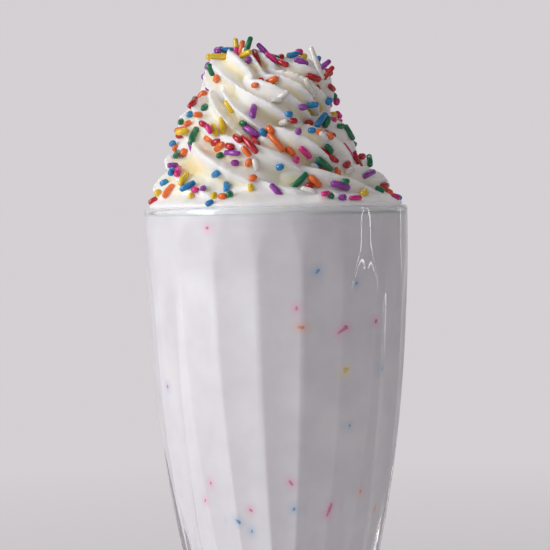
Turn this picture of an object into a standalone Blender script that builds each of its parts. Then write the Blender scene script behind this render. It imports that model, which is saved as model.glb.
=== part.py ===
"""Milkshake in a fluted soda glass, with piped whipped cream and sprinkles.

The script builds three closed solids: the glass, the drink that fills it, and the cream with its
sprinkles fused on. Lengths are in metres and +Z is up. The origin is the centre of the foot's
underside, and -Y is the front, where the last turn of the piped cream tucks in.
"""
import math
import random

import bmesh
import bpy
from mathutils import Matrix, Vector
from mathutils.bvhtree import BVHTree

MM = 0.001
FULL_TURN = 2 * math.pi
ROUND_STEPS = 54
MERGE_DISTANCE = 0.01 * MM

# Glass: bowl
GLASS_HEIGHT = 178 * MM
RIM_RADIUS = 41 * MM
BOWL_NARROWING = 23.5 * MM
BOWL_LENGTH = 156 * MM
BOWL_POWER = 2.3
BOWL_END_DEPTH = 152 * MM
RIM_WALL = 2.4 * MM
WALL_GROWTH = 9.4 * MM
WALL_POWER = 2.0
CAVITY_CURVE_DEPTH = 134 * MM
CAVITY_BOWL = 10.5 * MM

# Glass: flutes, cut into the outer side of the bowl
FLUTES = 18
FLUTE_TURN = math.radians(1)
FLUTE_SHARE = 0.028
FLUTE_SHARE_LOW = 0.05
FLUTE_SHARE_DEPTH = 100 * MM
FLUTE_TOP = 10 * MM
FLUTE_FULL = 35 * MM
FLUTE_FADE = 12 * MM

# Glass: neck and foot
NECK_RADIUS = 17 * MM
NECK_HEIGHT = 17.5 * MM
FOOT_RADIUS = 38 * MM
FOOT_EDGE = 4 * MM
FOOT_HOLLOW_RADIUS = 29 * MM
FOOT_HOLLOW = 3 * MM

# Drink
TOUCH_GAP = 0.3 * MM
DRINK_LEVEL = GLASS_HEIGHT - 2.6 * MM

# Cream: each row is (turns along the piped rope, size in mm)
ROPE_TURNS = 3.35
ROPE_END_ANGLE = math.radians(323)
ROPE_STEPS_PER_TURN = 90
COIL_RADIUS = ((0, 24), (0.45, 23), (0.95, 24), (1.45, 14.5), (1.95, 14.4), (2.45, 9.5), (2.95, 9.4),
               (3.1, 8), (3.35, 2.5))
COIL_HEIGHT = ((0, -1), (0.45, 2.6), (0.95, 6), (1.45, 17), (1.95, 21.5), (2.45, 34.5), (2.95, 37.5),
               (3.1, 39.5), (3.35, 42))
ROPE_RADIUS = ((0, 12.5), (0.45, 13), (0.95, 13.8), (1.45, 13.2), (1.95, 13.8), (2.45, 12), (2.95, 11.4),
               (3.1, 9.8), (3.35, 4.5))
LEAN = ((0, 0), (0.8, 0.2), (1.6, -2.6), (3.35, -2.2))

# Cream: ridges left by the piping nozzle, with their twist as (turns along the rope, twists)
RIDGES = 6
RIDGE_STEPS = 8
RIDGE_TWIST = ((0, 0), (0.6, 0.8), (1.2, 1.8), (2.0, 4.0), (2.6, 5.9), (3.35, 8.0))
VALLEY_DEPTH = 0.33
CREST_ROUNDING = 0.10
RIDGE_SEED = 4

# Cream: skirt and heart, as (radius, height above the rim) in mm
CREAM_HEART = ((39.3, -6), (39.3, 1), (36, 3), (26, 8), (20, 16), (12, 30), (9, 40), (4, 45))
CREAM_LIMIT_RADIUS = 40.2 * MM
CREAM_LIMIT_HEIGHT = 70 * MM
CREAM_VOXEL = 0.9 * MM
CREAM_SMOOTHING = 4
CREAM_TRIANGLES = 3300

# Sprinkles
SPRINKLE_SEED = 21
SPRINKLE_RADIUS = (0.95 * MM, 1.2 * MM)
SPRINKLE_LENGTH = (5.0 * MM, 8.6 * MM)
SPRINKLE_SIDES = 6
SPRINKLE_LIFT = 0.25
SPRINKLE_SPACING = 0.4 * MM
SPRINKLE_REACH = 40.6 * MM
SPRINKLE_TRIES = 60
RAY_START = 0.12
TOP_COUNT = 26
TOP_RADIUS = 19 * MM
TOP_CENTRE_X = -3 * MM

# Bands of sprinkles on the cream's side: count, lowest and highest height above the rim
SIDE_BANDS = ((16, 30 * MM, 44 * MM), (34, 13 * MM, 27 * MM), (26, 2 * MM, 9 * MM))


def clear_scene():
    """Remove every object that the file holds."""
    for item in list(bpy.data.objects):
        bpy.data.objects.remove(item)


def new_collection(name):
    """Make a collection in the scene."""
    group = bpy.data.collections.new(name)
    bpy.context.scene.collection.children.link(group)
    return group


def new_object(name, mesh, group):
    """Make an object for a mesh in a collection."""
    item = bpy.data.objects.new(name, mesh)
    group.objects.link(item)
    return item


def finish_material(name, colour, roughness, transmission=0.0, ior=1.45):
    """Make a Principled material."""
    material = bpy.data.materials.new(name)
    material.use_nodes = True
    shader = material.node_tree.nodes["Principled BSDF"]
    shader.inputs["Base Color"].default_value = (*colour, 1)
    shader.inputs["Roughness"].default_value = roughness
    shader.inputs["Metallic"].default_value = 0
    shader.inputs["Transmission Weight"].default_value = transmission
    shader.inputs["IOR"].default_value = ior
    return material


def bake(item):
    """Replace an object's mesh by its evaluated shape, with no modifiers left."""
    evaluated = item.evaluated_get(bpy.context.evaluated_depsgraph_get())
    mesh = bpy.data.meshes.new_from_object(evaluated)
    item.modifiers.clear()
    item.data = mesh


def turned(name, profile, group):
    """Turn a profile of (radius, height) points round Z into a closed solid.

    The profile starts and ends on the axis and runs down its outer side.
    """
    mesh = bpy.data.meshes.new(name)
    points = [(radius, 0, height) for radius, height in profile]
    edges = [(index, index + 1) for index in range(len(points) - 1)]
    mesh.from_pydata(points, edges, [])
    item = new_object(name, mesh, group)
    screw = item.modifiers.new("turn", "SCREW")
    screw.steps = ROUND_STEPS
    screw.render_steps = ROUND_STEPS
    screw.use_merge_vertices = True
    screw.merge_threshold = MERGE_DISTANCE
    bake(item)
    form = bmesh.new()
    form.from_mesh(item.data)
    bmesh.ops.recalc_face_normals(form, faces=form.faces)
    form.to_mesh(item.data)
    form.free()
    return item


def arc(centre, radii, start, end, steps):
    """List points on an ellipse's arc, with angles in degrees from +radius towards +height."""
    points = []
    for step in range(steps + 1):
        angle = math.radians(start + (end - start) * step / steps)
        points.append((centre[0] + radii[0] * math.cos(angle), centre[1] + radii[1] * math.sin(angle)))
    return points


def bowl_radius(depth):
    """Outer radius of the bowl at a depth below the rim."""
    return RIM_RADIUS - BOWL_NARROWING * (depth / BOWL_LENGTH) ** BOWL_POWER


def cavity_radius(depth):
    """Inner radius of the bowl at a depth below the rim."""
    wall = RIM_WALL + WALL_GROWTH * (depth / CAVITY_CURVE_DEPTH) ** WALL_POWER
    return bowl_radius(depth) - wall


def cavity_profile(gap, top_depth, steps):
    """List the inside of the bowl from its bottom up to a depth, drawn in by a gap."""
    centre = (0, GLASS_HEIGHT - CAVITY_CURVE_DEPTH)
    radii = (cavity_radius(CAVITY_CURVE_DEPTH) - gap, CAVITY_BOWL - gap)
    points = arc(centre, radii, -90, 0, 4)
    for step in range(1, steps + 1):
        depth = CAVITY_CURVE_DEPTH + (top_depth - CAVITY_CURVE_DEPTH) * step / steps
        points.append((cavity_radius(depth) - gap, GLASS_HEIGHT - depth))
    return points


def bowl_profile(top_depth, steps):
    """List the outside of the bowl from below the lip to the top of the neck."""
    points = []
    for step in range(1, steps + 1):
        depth = top_depth + (BOWL_END_DEPTH - top_depth) * step / steps
        points.append((bowl_radius(depth), GLASS_HEIGHT - depth))
    return points


def neck_profile(steps):
    """List the bend from the bowl's end to the narrowest place of the neck."""
    start = Vector((bowl_radius(BOWL_END_DEPTH), GLASS_HEIGHT - BOWL_END_DEPTH))
    end = Vector((NECK_RADIUS, NECK_HEIGHT))
    bend = Vector((NECK_RADIUS, (start.y + end.y) / 2))
    points = []
    for step in range(1, steps + 1):
        t = step / steps
        place = start * (1 - t) ** 2 + bend * 2 * t * (1 - t) + end * t ** 2
        points.append((place.x, place.y))
    return points


def foot_profile():
    """List the flare, the rounded edge and the hollow underside of the foot."""
    edge = FOOT_EDGE / 2
    flat_end = FOOT_RADIUS - edge
    flare = arc((flat_end, NECK_HEIGHT), (flat_end - NECK_RADIUS, NECK_HEIGHT - FOOT_EDGE), 180, 270, 5)
    rounding = arc((flat_end, edge), (edge, edge), 90, -90, 4)
    hollow = arc((0, 0), (FOOT_HOLLOW_RADIUS, FOOT_HOLLOW), 0, 90, 3)
    return flare[1:] + rounding[1:] + hollow


def flute_depth(depth, across):
    """How far a flute cuts in, at a depth below the rim and a place from -1 to 1 across it."""
    rise = min(max((depth - FLUTE_TOP) / (FLUTE_FULL - FLUTE_TOP), 0), 1)
    rise = rise * rise * (3 - 2 * rise)
    fade = min(max((BOWL_END_DEPTH - depth) / FLUTE_FADE, 0), 1)
    growth = min(depth / FLUTE_SHARE_DEPTH, 1)
    full = (FLUTE_SHARE + (FLUTE_SHARE_LOW - FLUTE_SHARE) * growth) * bowl_radius(depth) * fade
    return max(full * (rise - across * across), 0)


def cut_flutes(item):
    """Push the bowl's outer side in along its flutes, with ridges on every third column."""
    for vertex in item.data.vertices:
        depth = max(GLASS_HEIGHT - vertex.co.z, 0)
        radius = math.hypot(vertex.co.x, vertex.co.y)
        outside = depth < BOWL_END_DEPTH and radius > bowl_radius(depth) - RIM_WALL / 2
        if not outside:
            continue
        turn = math.atan2(vertex.co.y, vertex.co.x) / FULL_TURN * FLUTES
        across = 2 * (turn - math.floor(turn + 0.001)) - 1
        shrink = (radius - flute_depth(depth, min(across, 1))) / radius
        vertex.co.x *= shrink
        vertex.co.y *= shrink
    item.data.transform(Matrix.Rotation(FLUTE_TURN, 4, "Z"))


def make_glass(group):
    """Build the footed glass as one solid."""
    lip = RIM_WALL / 2
    lip_centre = (RIM_RADIUS - lip, GLASS_HEIGHT - lip)
    profile = cavity_profile(0, lip, 6)[:-1]
    profile += arc(lip_centre, (lip, lip), 180, 0, 4)
    profile += bowl_profile(FLUTE_TOP - 2 * MM, 9)
    profile += neck_profile(3)
    profile += foot_profile()
    glass = turned("glass", profile, group)
    cut_flutes(glass)
    glass.data.materials.append(finish_material("glass", (0.93, 0.95, 0.95), 0.03, 1.0, 1.5))
    return glass


def make_drink(group):
    """Build the drink as one solid, up to its level."""
    top_depth = GLASS_HEIGHT - DRINK_LEVEL
    wall = cavity_profile(TOUCH_GAP, top_depth, 6)
    profile = [(0, DRINK_LEVEL)] + list(reversed(wall))
    drink = turned("milkshake", profile, group)
    drink.data.materials.append(finish_material("milkshake", (0.86, 0.82, 0.84), 0.35))
    return drink


def eased(keys, place):
    """Read a smooth curve through (place, value) rows."""
    for index in range(len(keys) - 1):
        if place <= keys[index + 1][0]:
            break
    before = keys[max(index - 1, 0)]
    start = keys[index]
    end = keys[index + 1]
    after = keys[min(index + 2, len(keys) - 1)]
    span = end[0] - start[0]
    t = (place - start[0]) / span
    leave = (end[1] - before[1]) / (end[0] - before[0]) * span
    arrive = (after[1] - start[1]) / (after[0] - start[0]) * span
    value = (2 * t ** 3 - 3 * t ** 2 + 1) * start[1] + (t ** 3 - 2 * t ** 2 + t) * leave
    return value + (3 * t ** 2 - 2 * t ** 3) * end[1] + (t ** 3 - t ** 2) * arrive


def wave(angle, rate, phase):
    """A slow unevenness from -1 to 1."""
    return 0.6 * math.sin(rate * angle + phase) + 0.4 * math.sin(2.3 * rate * angle + 2.1 * phase + 1)


def rope_place(turns):
    """Angle and centre of the piped rope after some turns, in mm above the rim's centre."""
    angle = ROPE_END_ANGLE - (ROPE_TURNS - turns) * FULL_TURN
    radius = eased(COIL_RADIUS, turns) + 0.6 * wave(angle, 2.1, 1)
    height = eased(COIL_HEIGHT, turns) + 0.5 * wave(angle, 1.7, 2)
    centre = Vector((eased(LEAN, turns) + radius * math.cos(angle), radius * math.sin(angle), height))
    return angle, centre


def ridge_draws():
    """Draw each ridge's height and its shift round the rope."""
    draw = random.Random(RIDGE_SEED)
    heights = [draw.uniform(0.8, 1.2) for _ in range(RIDGES)]
    shifts = [draw.uniform(-0.16, 0.16) for _ in range(RIDGES)]
    return heights, shifts


def rope_ring(turns, heights, shifts):
    """List one section of the rope: ridges with hollow valleys between them."""
    angle, centre = rope_place(turns)
    ahead = rope_place(min(turns + 0.01, ROPE_TURNS))[1]
    behind = rope_place(max(turns - 0.01, 0))[1]
    along = (ahead - behind).normalized()
    outward = Vector((math.cos(angle), math.sin(angle), 0))
    outward = (outward - along * outward.dot(along)).normalized()
    upward = outward.cross(along)
    upward = upward if upward.z > 0 else -upward
    rope = eased(ROPE_RADIUS, turns)
    twist = eased(RIDGE_TWIST, turns)
    ring = []
    for ridge in range(RIDGES):
        following = (ridge + 1) % RIDGES
        for step in range(RIDGE_STEPS):
            across = step / RIDGE_STEPS
            place = ridge + across + shifts[ridge] * (1 - across) + shifts[following] * across
            turn = FULL_TURN * (place / RIDGES - twist) + 0.1 * wave(angle, 2.9, ridge)
            off_crest = 2 * min(across, 1 - across)
            fall = math.hypot(off_crest, CREST_ROUNDING) - CREST_ROUNDING
            fall /= math.hypot(1, CREST_ROUNDING) - CREST_ROUNDING
            depth = VALLEY_DEPTH * (heights[ridge] * (1 - across) + heights[following] * across)
            depth *= 1 + 0.25 * wave(angle, 1.9, 3 + ridge)
            radius = rope * (1 - depth * (2 * fall - fall * fall))
            ring.append(centre + (outward * math.cos(turn) + upward * math.sin(turn)) * radius)
    return ring


def make_rope(group):
    """Loft the piped rope through its sections, with both ends closed."""
    heights, shifts = ridge_draws()
    count = round(ROPE_TURNS * ROPE_STEPS_PER_TURN)
    rim = Vector((0, 0, GLASS_HEIGHT))
    form = bmesh.new()
    rows = []
    for step in range(count + 1):
        ring = rope_ring(ROPE_TURNS * step / count, heights, shifts)
        rows.append([form.verts.new(point * MM + rim) for point in ring])
    for row, following in zip(rows, rows[1:]):
        for place in range(len(row)):
            beside = (place + 1) % len(row)
            form.faces.new((row[place], row[beside], following[beside], following[place]))
    form.faces.new(rows[0])
    form.faces.new(reversed(rows[-1]))
    bmesh.ops.recalc_face_normals(form, faces=form.faces)
    mesh = bpy.data.meshes.new("whipped_cream")
    form.to_mesh(mesh)
    form.free()
    return new_object("whipped_cream", mesh, group)


def make_heart(group):
    """Turn the cream's skirt over the rim and the heart that the rope winds round."""
    outline = [(radius * MM, GLASS_HEIGHT + height * MM) for radius, height in reversed(CREAM_HEART)]
    profile = [(0, outline[0][1])] + outline + [(0, outline[-1][1])]
    return turned("cream_heart", profile, group)


def make_mouth_limit(group):
    """Turn the space that the cream may fill: the glass's mouth, over the lip, and all above it."""
    lip = RIM_WALL / 2
    bottom = DRINK_LEVEL + TOUCH_GAP
    lip_centre = (RIM_RADIUS - lip, GLASS_HEIGHT - lip)
    clear = lip + TOUCH_GAP
    end = math.degrees(math.acos((CREAM_LIMIT_RADIUS - lip_centre[0]) / clear))
    over_lip = list(reversed(arc(lip_centre, (clear, clear), 180, end, 4)))
    top = GLASS_HEIGHT + CREAM_LIMIT_HEIGHT
    profile = [(0, top), (CREAM_LIMIT_RADIUS, top)] + over_lip
    profile += [(over_lip[-1][0], bottom), (0, bottom)]
    return turned("mouth_limit", profile, group)


def add_boolean(item, name, operation, cutter):
    """Put an exact Boolean with one cutter on an object."""
    boolean = item.modifiers.new(name, "BOOLEAN")
    boolean.operation = operation
    boolean.solver = "EXACT"
    boolean.object = cutter


def add_mesh(item, other):
    """Add another object's faces to an object's mesh."""
    form = bmesh.new()
    form.from_mesh(item.data)
    form.from_mesh(other.data)
    form.to_mesh(item.data)
    form.free()


def keep_largest_shell(item):
    """Drop every loose shell but the largest from an object's mesh."""
    form = bmesh.new()
    form.from_mesh(item.data)
    waiting = set(form.verts)
    shells = []
    while waiting:
        shell = [waiting.pop()]
        for vertex in shell:
            for edge in vertex.link_edges:
                neighbour = edge.other_vert(vertex)
                if neighbour in waiting:
                    waiting.discard(neighbour)
                    shell.append(neighbour)
        shells.append(shell)
    shells.sort(key=len)
    scraps = [vertex for shell in shells[:-1] for vertex in shell]
    bmesh.ops.delete(form, geom=scraps, context="VERTS")
    form.to_mesh(item.data)
    form.free()


def make_cream(group, cutters):
    """Build the piped cream, shaped to the mouth of the glass, without its sprinkles."""
    rope = make_rope(group)
    limit = make_mouth_limit(cutters)
    add_mesh(rope, make_heart(cutters))
    rope.data.materials.append(finish_material("whipped_cream", (0.95, 0.92, 0.85), 0.5))
    remesh = rope.modifiers.new("one_skin", "REMESH")
    remesh.mode = "VOXEL"
    remesh.voxel_size = CREAM_VOXEL
    soften = rope.modifiers.new("soften", "SMOOTH")
    soften.iterations = CREAM_SMOOTHING
    bake(rope)
    keep_largest_shell(rope)
    fewer = rope.modifiers.new("fewer_faces", "DECIMATE")
    fewer.ratio = CREAM_TRIANGLES / (2 * len(rope.data.polygons))
    add_boolean(rope, "fit_mouth", "INTERSECT", limit)
    bake(rope)
    return rope


def clear_of_glass(ends, radius):
    """Tell whether a sprinkle keeps off the lip and inside the rim's circle."""
    lip = RIM_WALL / 2
    for end in ends:
        reach = math.hypot(end.x, end.y)
        from_lip = math.hypot(reach - (RIM_RADIUS - lip), end.z - (GLASS_HEIGHT - lip))
        if reach + radius > SPRINKLE_REACH or from_lip < lip + TOUCH_GAP + radius:
            return False
    return True


def segment_distance(first, second):
    """Smallest distance between two short rods, from points spread along both."""
    shares = (0, 0.25, 0.5, 0.75, 1)
    ones = [first[0].lerp(first[1], share) for share in shares]
    others = [second[0].lerp(second[1], share) for share in shares]
    return min((one - other).length for one in ones for other in others)


def lay_sprinkle(surface, origin, direction, draw, laid):
    """Try to lay one sprinkle where a ray meets the cream, clear of the others."""
    point, normal, _, _ = surface.ray_cast(origin, direction)
    if point is None:
        return False
    radius = draw.uniform(*SPRINKLE_RADIUS)
    length = draw.uniform(*SPRINKLE_LENGTH)
    spin = draw.uniform(0, FULL_TURN)
    across = normal.orthogonal().normalized()
    axis = across * math.cos(spin) + normal.cross(across) * math.sin(spin)
    centre = point + normal * radius * SPRINKLE_LIFT
    half = axis * (length / 2 - radius)
    ends = (centre - half, centre + half)
    if not clear_of_glass(ends, radius):
        return False
    for other_ends, other_radius in laid:
        if segment_distance(ends, other_ends) < radius + other_radius + SPRINKLE_SPACING:
            return False
    laid.append((ends, radius))
    return True


def side_ray(draw, low, high):
    """Draw a level ray towards the axis, at a height between two heights above the rim."""
    angle = draw.uniform(0, FULL_TURN)
    outward = Vector((math.cos(angle), math.sin(angle), 0))
    height = GLASS_HEIGHT + draw.uniform(low, high)
    return outward * RAY_START + Vector((0, 0, height)), -outward


def top_ray(draw):
    """Draw a ray straight down onto the cream's top."""
    angle = draw.uniform(0, FULL_TURN)
    radius = TOP_RADIUS * math.sqrt(draw.random())
    place = Vector((TOP_CENTRE_X + radius * math.cos(angle), radius * math.sin(angle), 0))
    return place + Vector((0, 0, GLASS_HEIGHT + RAY_START)), Vector((0, 0, -1))


def lay_band(surface, count, make_ray, draw, laid):
    """Lay a number of sprinkles by rays drawn with one rule."""
    wanted = len(laid) + count
    for _ in range(count * SPRINKLE_TRIES):
        if len(laid) == wanted:
            return
        origin, direction = make_ray(draw)
        lay_sprinkle(surface, origin, direction, draw, laid)


def make_sprinkle(index, ends, radius, group):
    """Build one sprinkle: a short rod with pointed round ends."""
    form = bmesh.new()
    bmesh.ops.create_uvsphere(form, u_segments=SPRINKLE_SIDES, v_segments=3, radius=radius)
    half = (ends[1] - ends[0]).length / 2
    for vertex in form.verts:
        vertex.co.z += math.copysign(half, vertex.co.z)
    mesh = bpy.data.meshes.new("sprinkle")
    form.to_mesh(mesh)
    form.free()
    item = new_object(f"sprinkle_{index}", mesh, group)
    turn = (ends[1] - ends[0]).to_track_quat("Z", "Y").to_matrix().to_4x4()
    mesh.transform(Matrix.Translation((ends[0] + ends[1]) / 2) @ turn)
    return item


def fuse_sprinkles(cream):
    """Scatter sprinkles over the cream and join them to it in one solid."""
    surface = BVHTree.FromPolygons([vertex.co.copy() for vertex in cream.data.vertices],
                                   [tuple(face.vertices) for face in cream.data.polygons])
    draw = random.Random(SPRINKLE_SEED)
    laid = []
    lay_band(surface, TOP_COUNT, top_ray, draw, laid)
    for count, low, high in SIDE_BANDS:
        lay_band(surface, count, lambda chance: side_ray(chance, low, high), draw, laid)
    sprinkles = new_collection("sprinkles")
    for index, (ends, radius) in enumerate(laid):
        make_sprinkle(index, ends, radius, sprinkles)
    union = cream.modifiers.new("fuse_sprinkles", "BOOLEAN")
    union.operation = "UNION"
    union.solver = "EXACT"
    union.operand_type = "COLLECTION"
    union.collection = sprinkles
    bake(cream)
    keep_largest_shell(cream)
    for item in list(sprinkles.objects):
        bpy.data.objects.remove(item)
    bpy.data.collections.remove(sprinkles)


def hide_cutters(cutters):
    """Show the cutters as wires and keep them out of renders."""
    for item in cutters.objects:
        item.hide_render = True
        item.display_type = "WIRE"


def remove_cutters(cutters):
    """Remove the cutters, whose work is done."""
    for item in list(cutters.objects):
        bpy.data.objects.remove(item)
    bpy.data.collections.remove(cutters)


def main():
    """Build the whole object."""
    clear_scene()
    group = new_collection("milkshake_in_glass")
    cutters = new_collection("cutters")
    make_glass(group)
    make_drink(group)
    cream = make_cream(group, cutters)
    hide_cutters(cutters)
    fuse_sprinkles(cream)
    remove_cutters(cutters)


main()
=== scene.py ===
"""Looks of a milkshake in a fluted soda glass, with piped cream and rod sprinkles.

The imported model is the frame. Every piece is built in its coordinates, in metres: +Z up, the foot's
underside centre at the origin, and the front of the drink towards -Y.
"""
from __future__ import annotations

import logging
import math
import random
from dataclasses import dataclass, field, replace
from enum import Enum
from typing import Callable, Iterable, Sequence

import bmesh
import bpy
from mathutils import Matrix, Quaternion, Vector, noise
from mathutils.bvhtree import BVHTree


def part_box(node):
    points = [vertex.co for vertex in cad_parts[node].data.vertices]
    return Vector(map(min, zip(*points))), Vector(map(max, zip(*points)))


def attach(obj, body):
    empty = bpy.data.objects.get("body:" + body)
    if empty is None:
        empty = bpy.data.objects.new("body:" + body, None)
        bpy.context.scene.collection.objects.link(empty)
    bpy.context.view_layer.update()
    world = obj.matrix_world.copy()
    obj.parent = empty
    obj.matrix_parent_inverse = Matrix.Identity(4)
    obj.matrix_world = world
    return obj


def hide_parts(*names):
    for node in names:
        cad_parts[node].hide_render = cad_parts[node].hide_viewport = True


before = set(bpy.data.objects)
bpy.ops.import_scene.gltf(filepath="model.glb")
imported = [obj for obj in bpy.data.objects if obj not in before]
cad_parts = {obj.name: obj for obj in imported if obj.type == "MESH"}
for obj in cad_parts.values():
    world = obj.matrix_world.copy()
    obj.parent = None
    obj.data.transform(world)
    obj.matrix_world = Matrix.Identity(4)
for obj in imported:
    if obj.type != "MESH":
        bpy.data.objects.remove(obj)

MM = 0.001
FULL_TURN = 2 * math.pi
LOG = logging.getLogger("milkshake")


class Node(str, Enum):
    """The solids of the frame."""

    GLASS = "glass"
    DRINK = "milkshake"
    CREAM = "whipped_cream"


def linear(red: int, green: int, blue: int) -> tuple[float, float, float]:
    """Turn a screen colour, 0 to 255 each, into linear light.

    Args:
        red: Red as a screen shows it.
        green: Green as a screen shows it.
        blue: Blue as a screen shows it.

    Returns:
        The three linear values from 0 to 1.
    """
    def one(value: int) -> float:
        """Turn one channel into linear light."""
        share = value / 255
        return share / 12.92 if share <= 0.04045 else ((share + 0.055) / 1.055) ** 2.4

    return one(red), one(green), one(blue)


def link_object(name: str, mesh: bpy.types.Mesh) -> bpy.types.Object:
    """Show a mesh as an object of the scene.

    Args:
        name: The piece's name.
        mesh: Its mesh, with its place in it.

    Returns:
        The new object, at the origin.
    """
    item = bpy.data.objects.new(name, mesh)
    bpy.context.scene.collection.objects.link(item)
    return item


def object_of(name: str, form: bmesh.types.BMesh) -> bpy.types.Object:
    """Turn a finished form into a mesh and show it as an object of the scene.

    Args:
        name: The piece's name.
        form: The form, which is freed.

    Returns:
        The new object, at the origin.
    """
    mesh = bpy.data.meshes.new(name)
    form.to_mesh(mesh)
    form.free()
    return link_object(name, mesh)


def paler(colour: Iterable[float], share: float) -> tuple[float, ...]:
    """Bring a linear colour a share of the way to white."""
    return tuple(share + (1 - share) * channel for channel in colour)


def bake(item: bpy.types.Object) -> None:
    """Turn an object's evaluated shape into its plain mesh, with no modifiers left.

    Args:
        item: The object to bake.
    """
    evaluated = item.evaluated_get(bpy.context.evaluated_depsgraph_get())
    mesh = bpy.data.meshes.new_from_object(evaluated)
    mesh.name = item.name
    item.modifiers.clear()
    item.data = mesh


def shade_smooth(mesh: bpy.types.Mesh) -> None:
    """Shade every face of a mesh smooth."""
    mesh.polygons.foreach_set("use_smooth", [True] * len(mesh.polygons))


@dataclass(frozen=True)
class PhotoCamera:
    """The camera that sees the drink as the photo does.

    Pixels are counted in the photo's own 550 by 550 frame, from its top left corner.
    """

    image_size: float = 550
    distance: float = 0.70
    metres_per_pixel: float = 0.312 * MM
    axis_x: float = 277
    rim_y: float = 206.5
    rim_height: float = 178 * MM
    roll: float = math.radians(1.0)
    sensor_mm: float = 36
    near_clip: float = 0.01

    @property
    def lens_mm(self) -> float:
        """Focal length that gives the photo's scale at the glass's axis."""
        return self.sensor_mm * self.distance / (self.image_size * self.metres_per_pixel)

    @property
    def place(self) -> Vector:
        """Where the camera stands: level with the rim, in front of the photo's middle."""
        middle = self.image_size / 2
        return Vector(((middle - self.axis_x) * self.metres_per_pixel, -self.distance, self.rim_height))

    @property
    def rotation(self) -> Quaternion:
        """How the camera is turned: towards the photo's middle, with its slight roll.

        Returns:
            The turn from looking straight down.
        """
        drop = (self.image_size / 2 - self.rim_y) * self.metres_per_pixel
        target = Vector((self.place.x, 0, self.rim_height - drop))
        aim = (target - self.place).to_track_quat("-Z", "Y")
        return aim @ Quaternion((0, 0, 1), -self.roll)

    def ray(self, x: float, y: float) -> tuple[Vector, Vector]:
        """Find the line of sight through a pixel of the photo.

        Args:
            x: Pixels from the photo's left side.
            y: Pixels from the photo's top.

        Returns:
            The camera's place and the direction that it looks in.
        """
        across = (x / self.image_size - 0.5) * self.sensor_mm
        up = (0.5 - y / self.image_size) * self.sensor_mm
        return self.place, (self.rotation @ Vector((across, up, -self.lens_mm))).normalized()

    def in_picture(self, angle: float) -> Vector:
        """Turn an angle in the photo, in degrees anticlockwise from its right, into a direction."""
        turn = math.radians(angle)
        return self.rotation @ Vector((math.cos(turn), math.sin(turn), 0))

    def build(self) -> None:
        """Put the camera in the scene."""
        lens = bpy.data.cameras.new("photo_camera")
        lens.sensor_width = self.sensor_mm
        lens.lens = self.lens_mm
        lens.clip_start = self.near_clip
        item = bpy.data.objects.new("photo_camera", lens)
        item.location = self.place
        item.rotation_mode = "QUATERNION"
        item.rotation_quaternion = self.rotation
        bpy.context.scene.collection.objects.link(item)
        bpy.context.scene.camera = item


@dataclass(frozen=True)
class Lamp:
    """A soft rectangular lamp that shines on the drink."""

    name: str
    place: tuple[float, float, float]
    size: tuple[float, float]
    watts: float
    colour: tuple[float, float, float] = (1, 1, 1)
    target: tuple[float, float, float] = (0, 0, 0.15)

    def build(self) -> None:
        """Hang the lamp, out of any picture's sight."""
        light = bpy.data.lights.new(self.name, "AREA")
        light.shape = "RECTANGLE"
        light.size, light.size_y = self.size
        light.energy = self.watts
        light.color = self.colour
        item = bpy.data.objects.new(self.name, light)
        item.location = self.place
        item.visible_camera = False
        aim = Vector(self.target) - Vector(self.place)
        item.rotation_mode = "QUATERNION"
        item.rotation_quaternion = aim.to_track_quat("-Z", "Y")
        bpy.context.scene.collection.objects.link(item)


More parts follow.
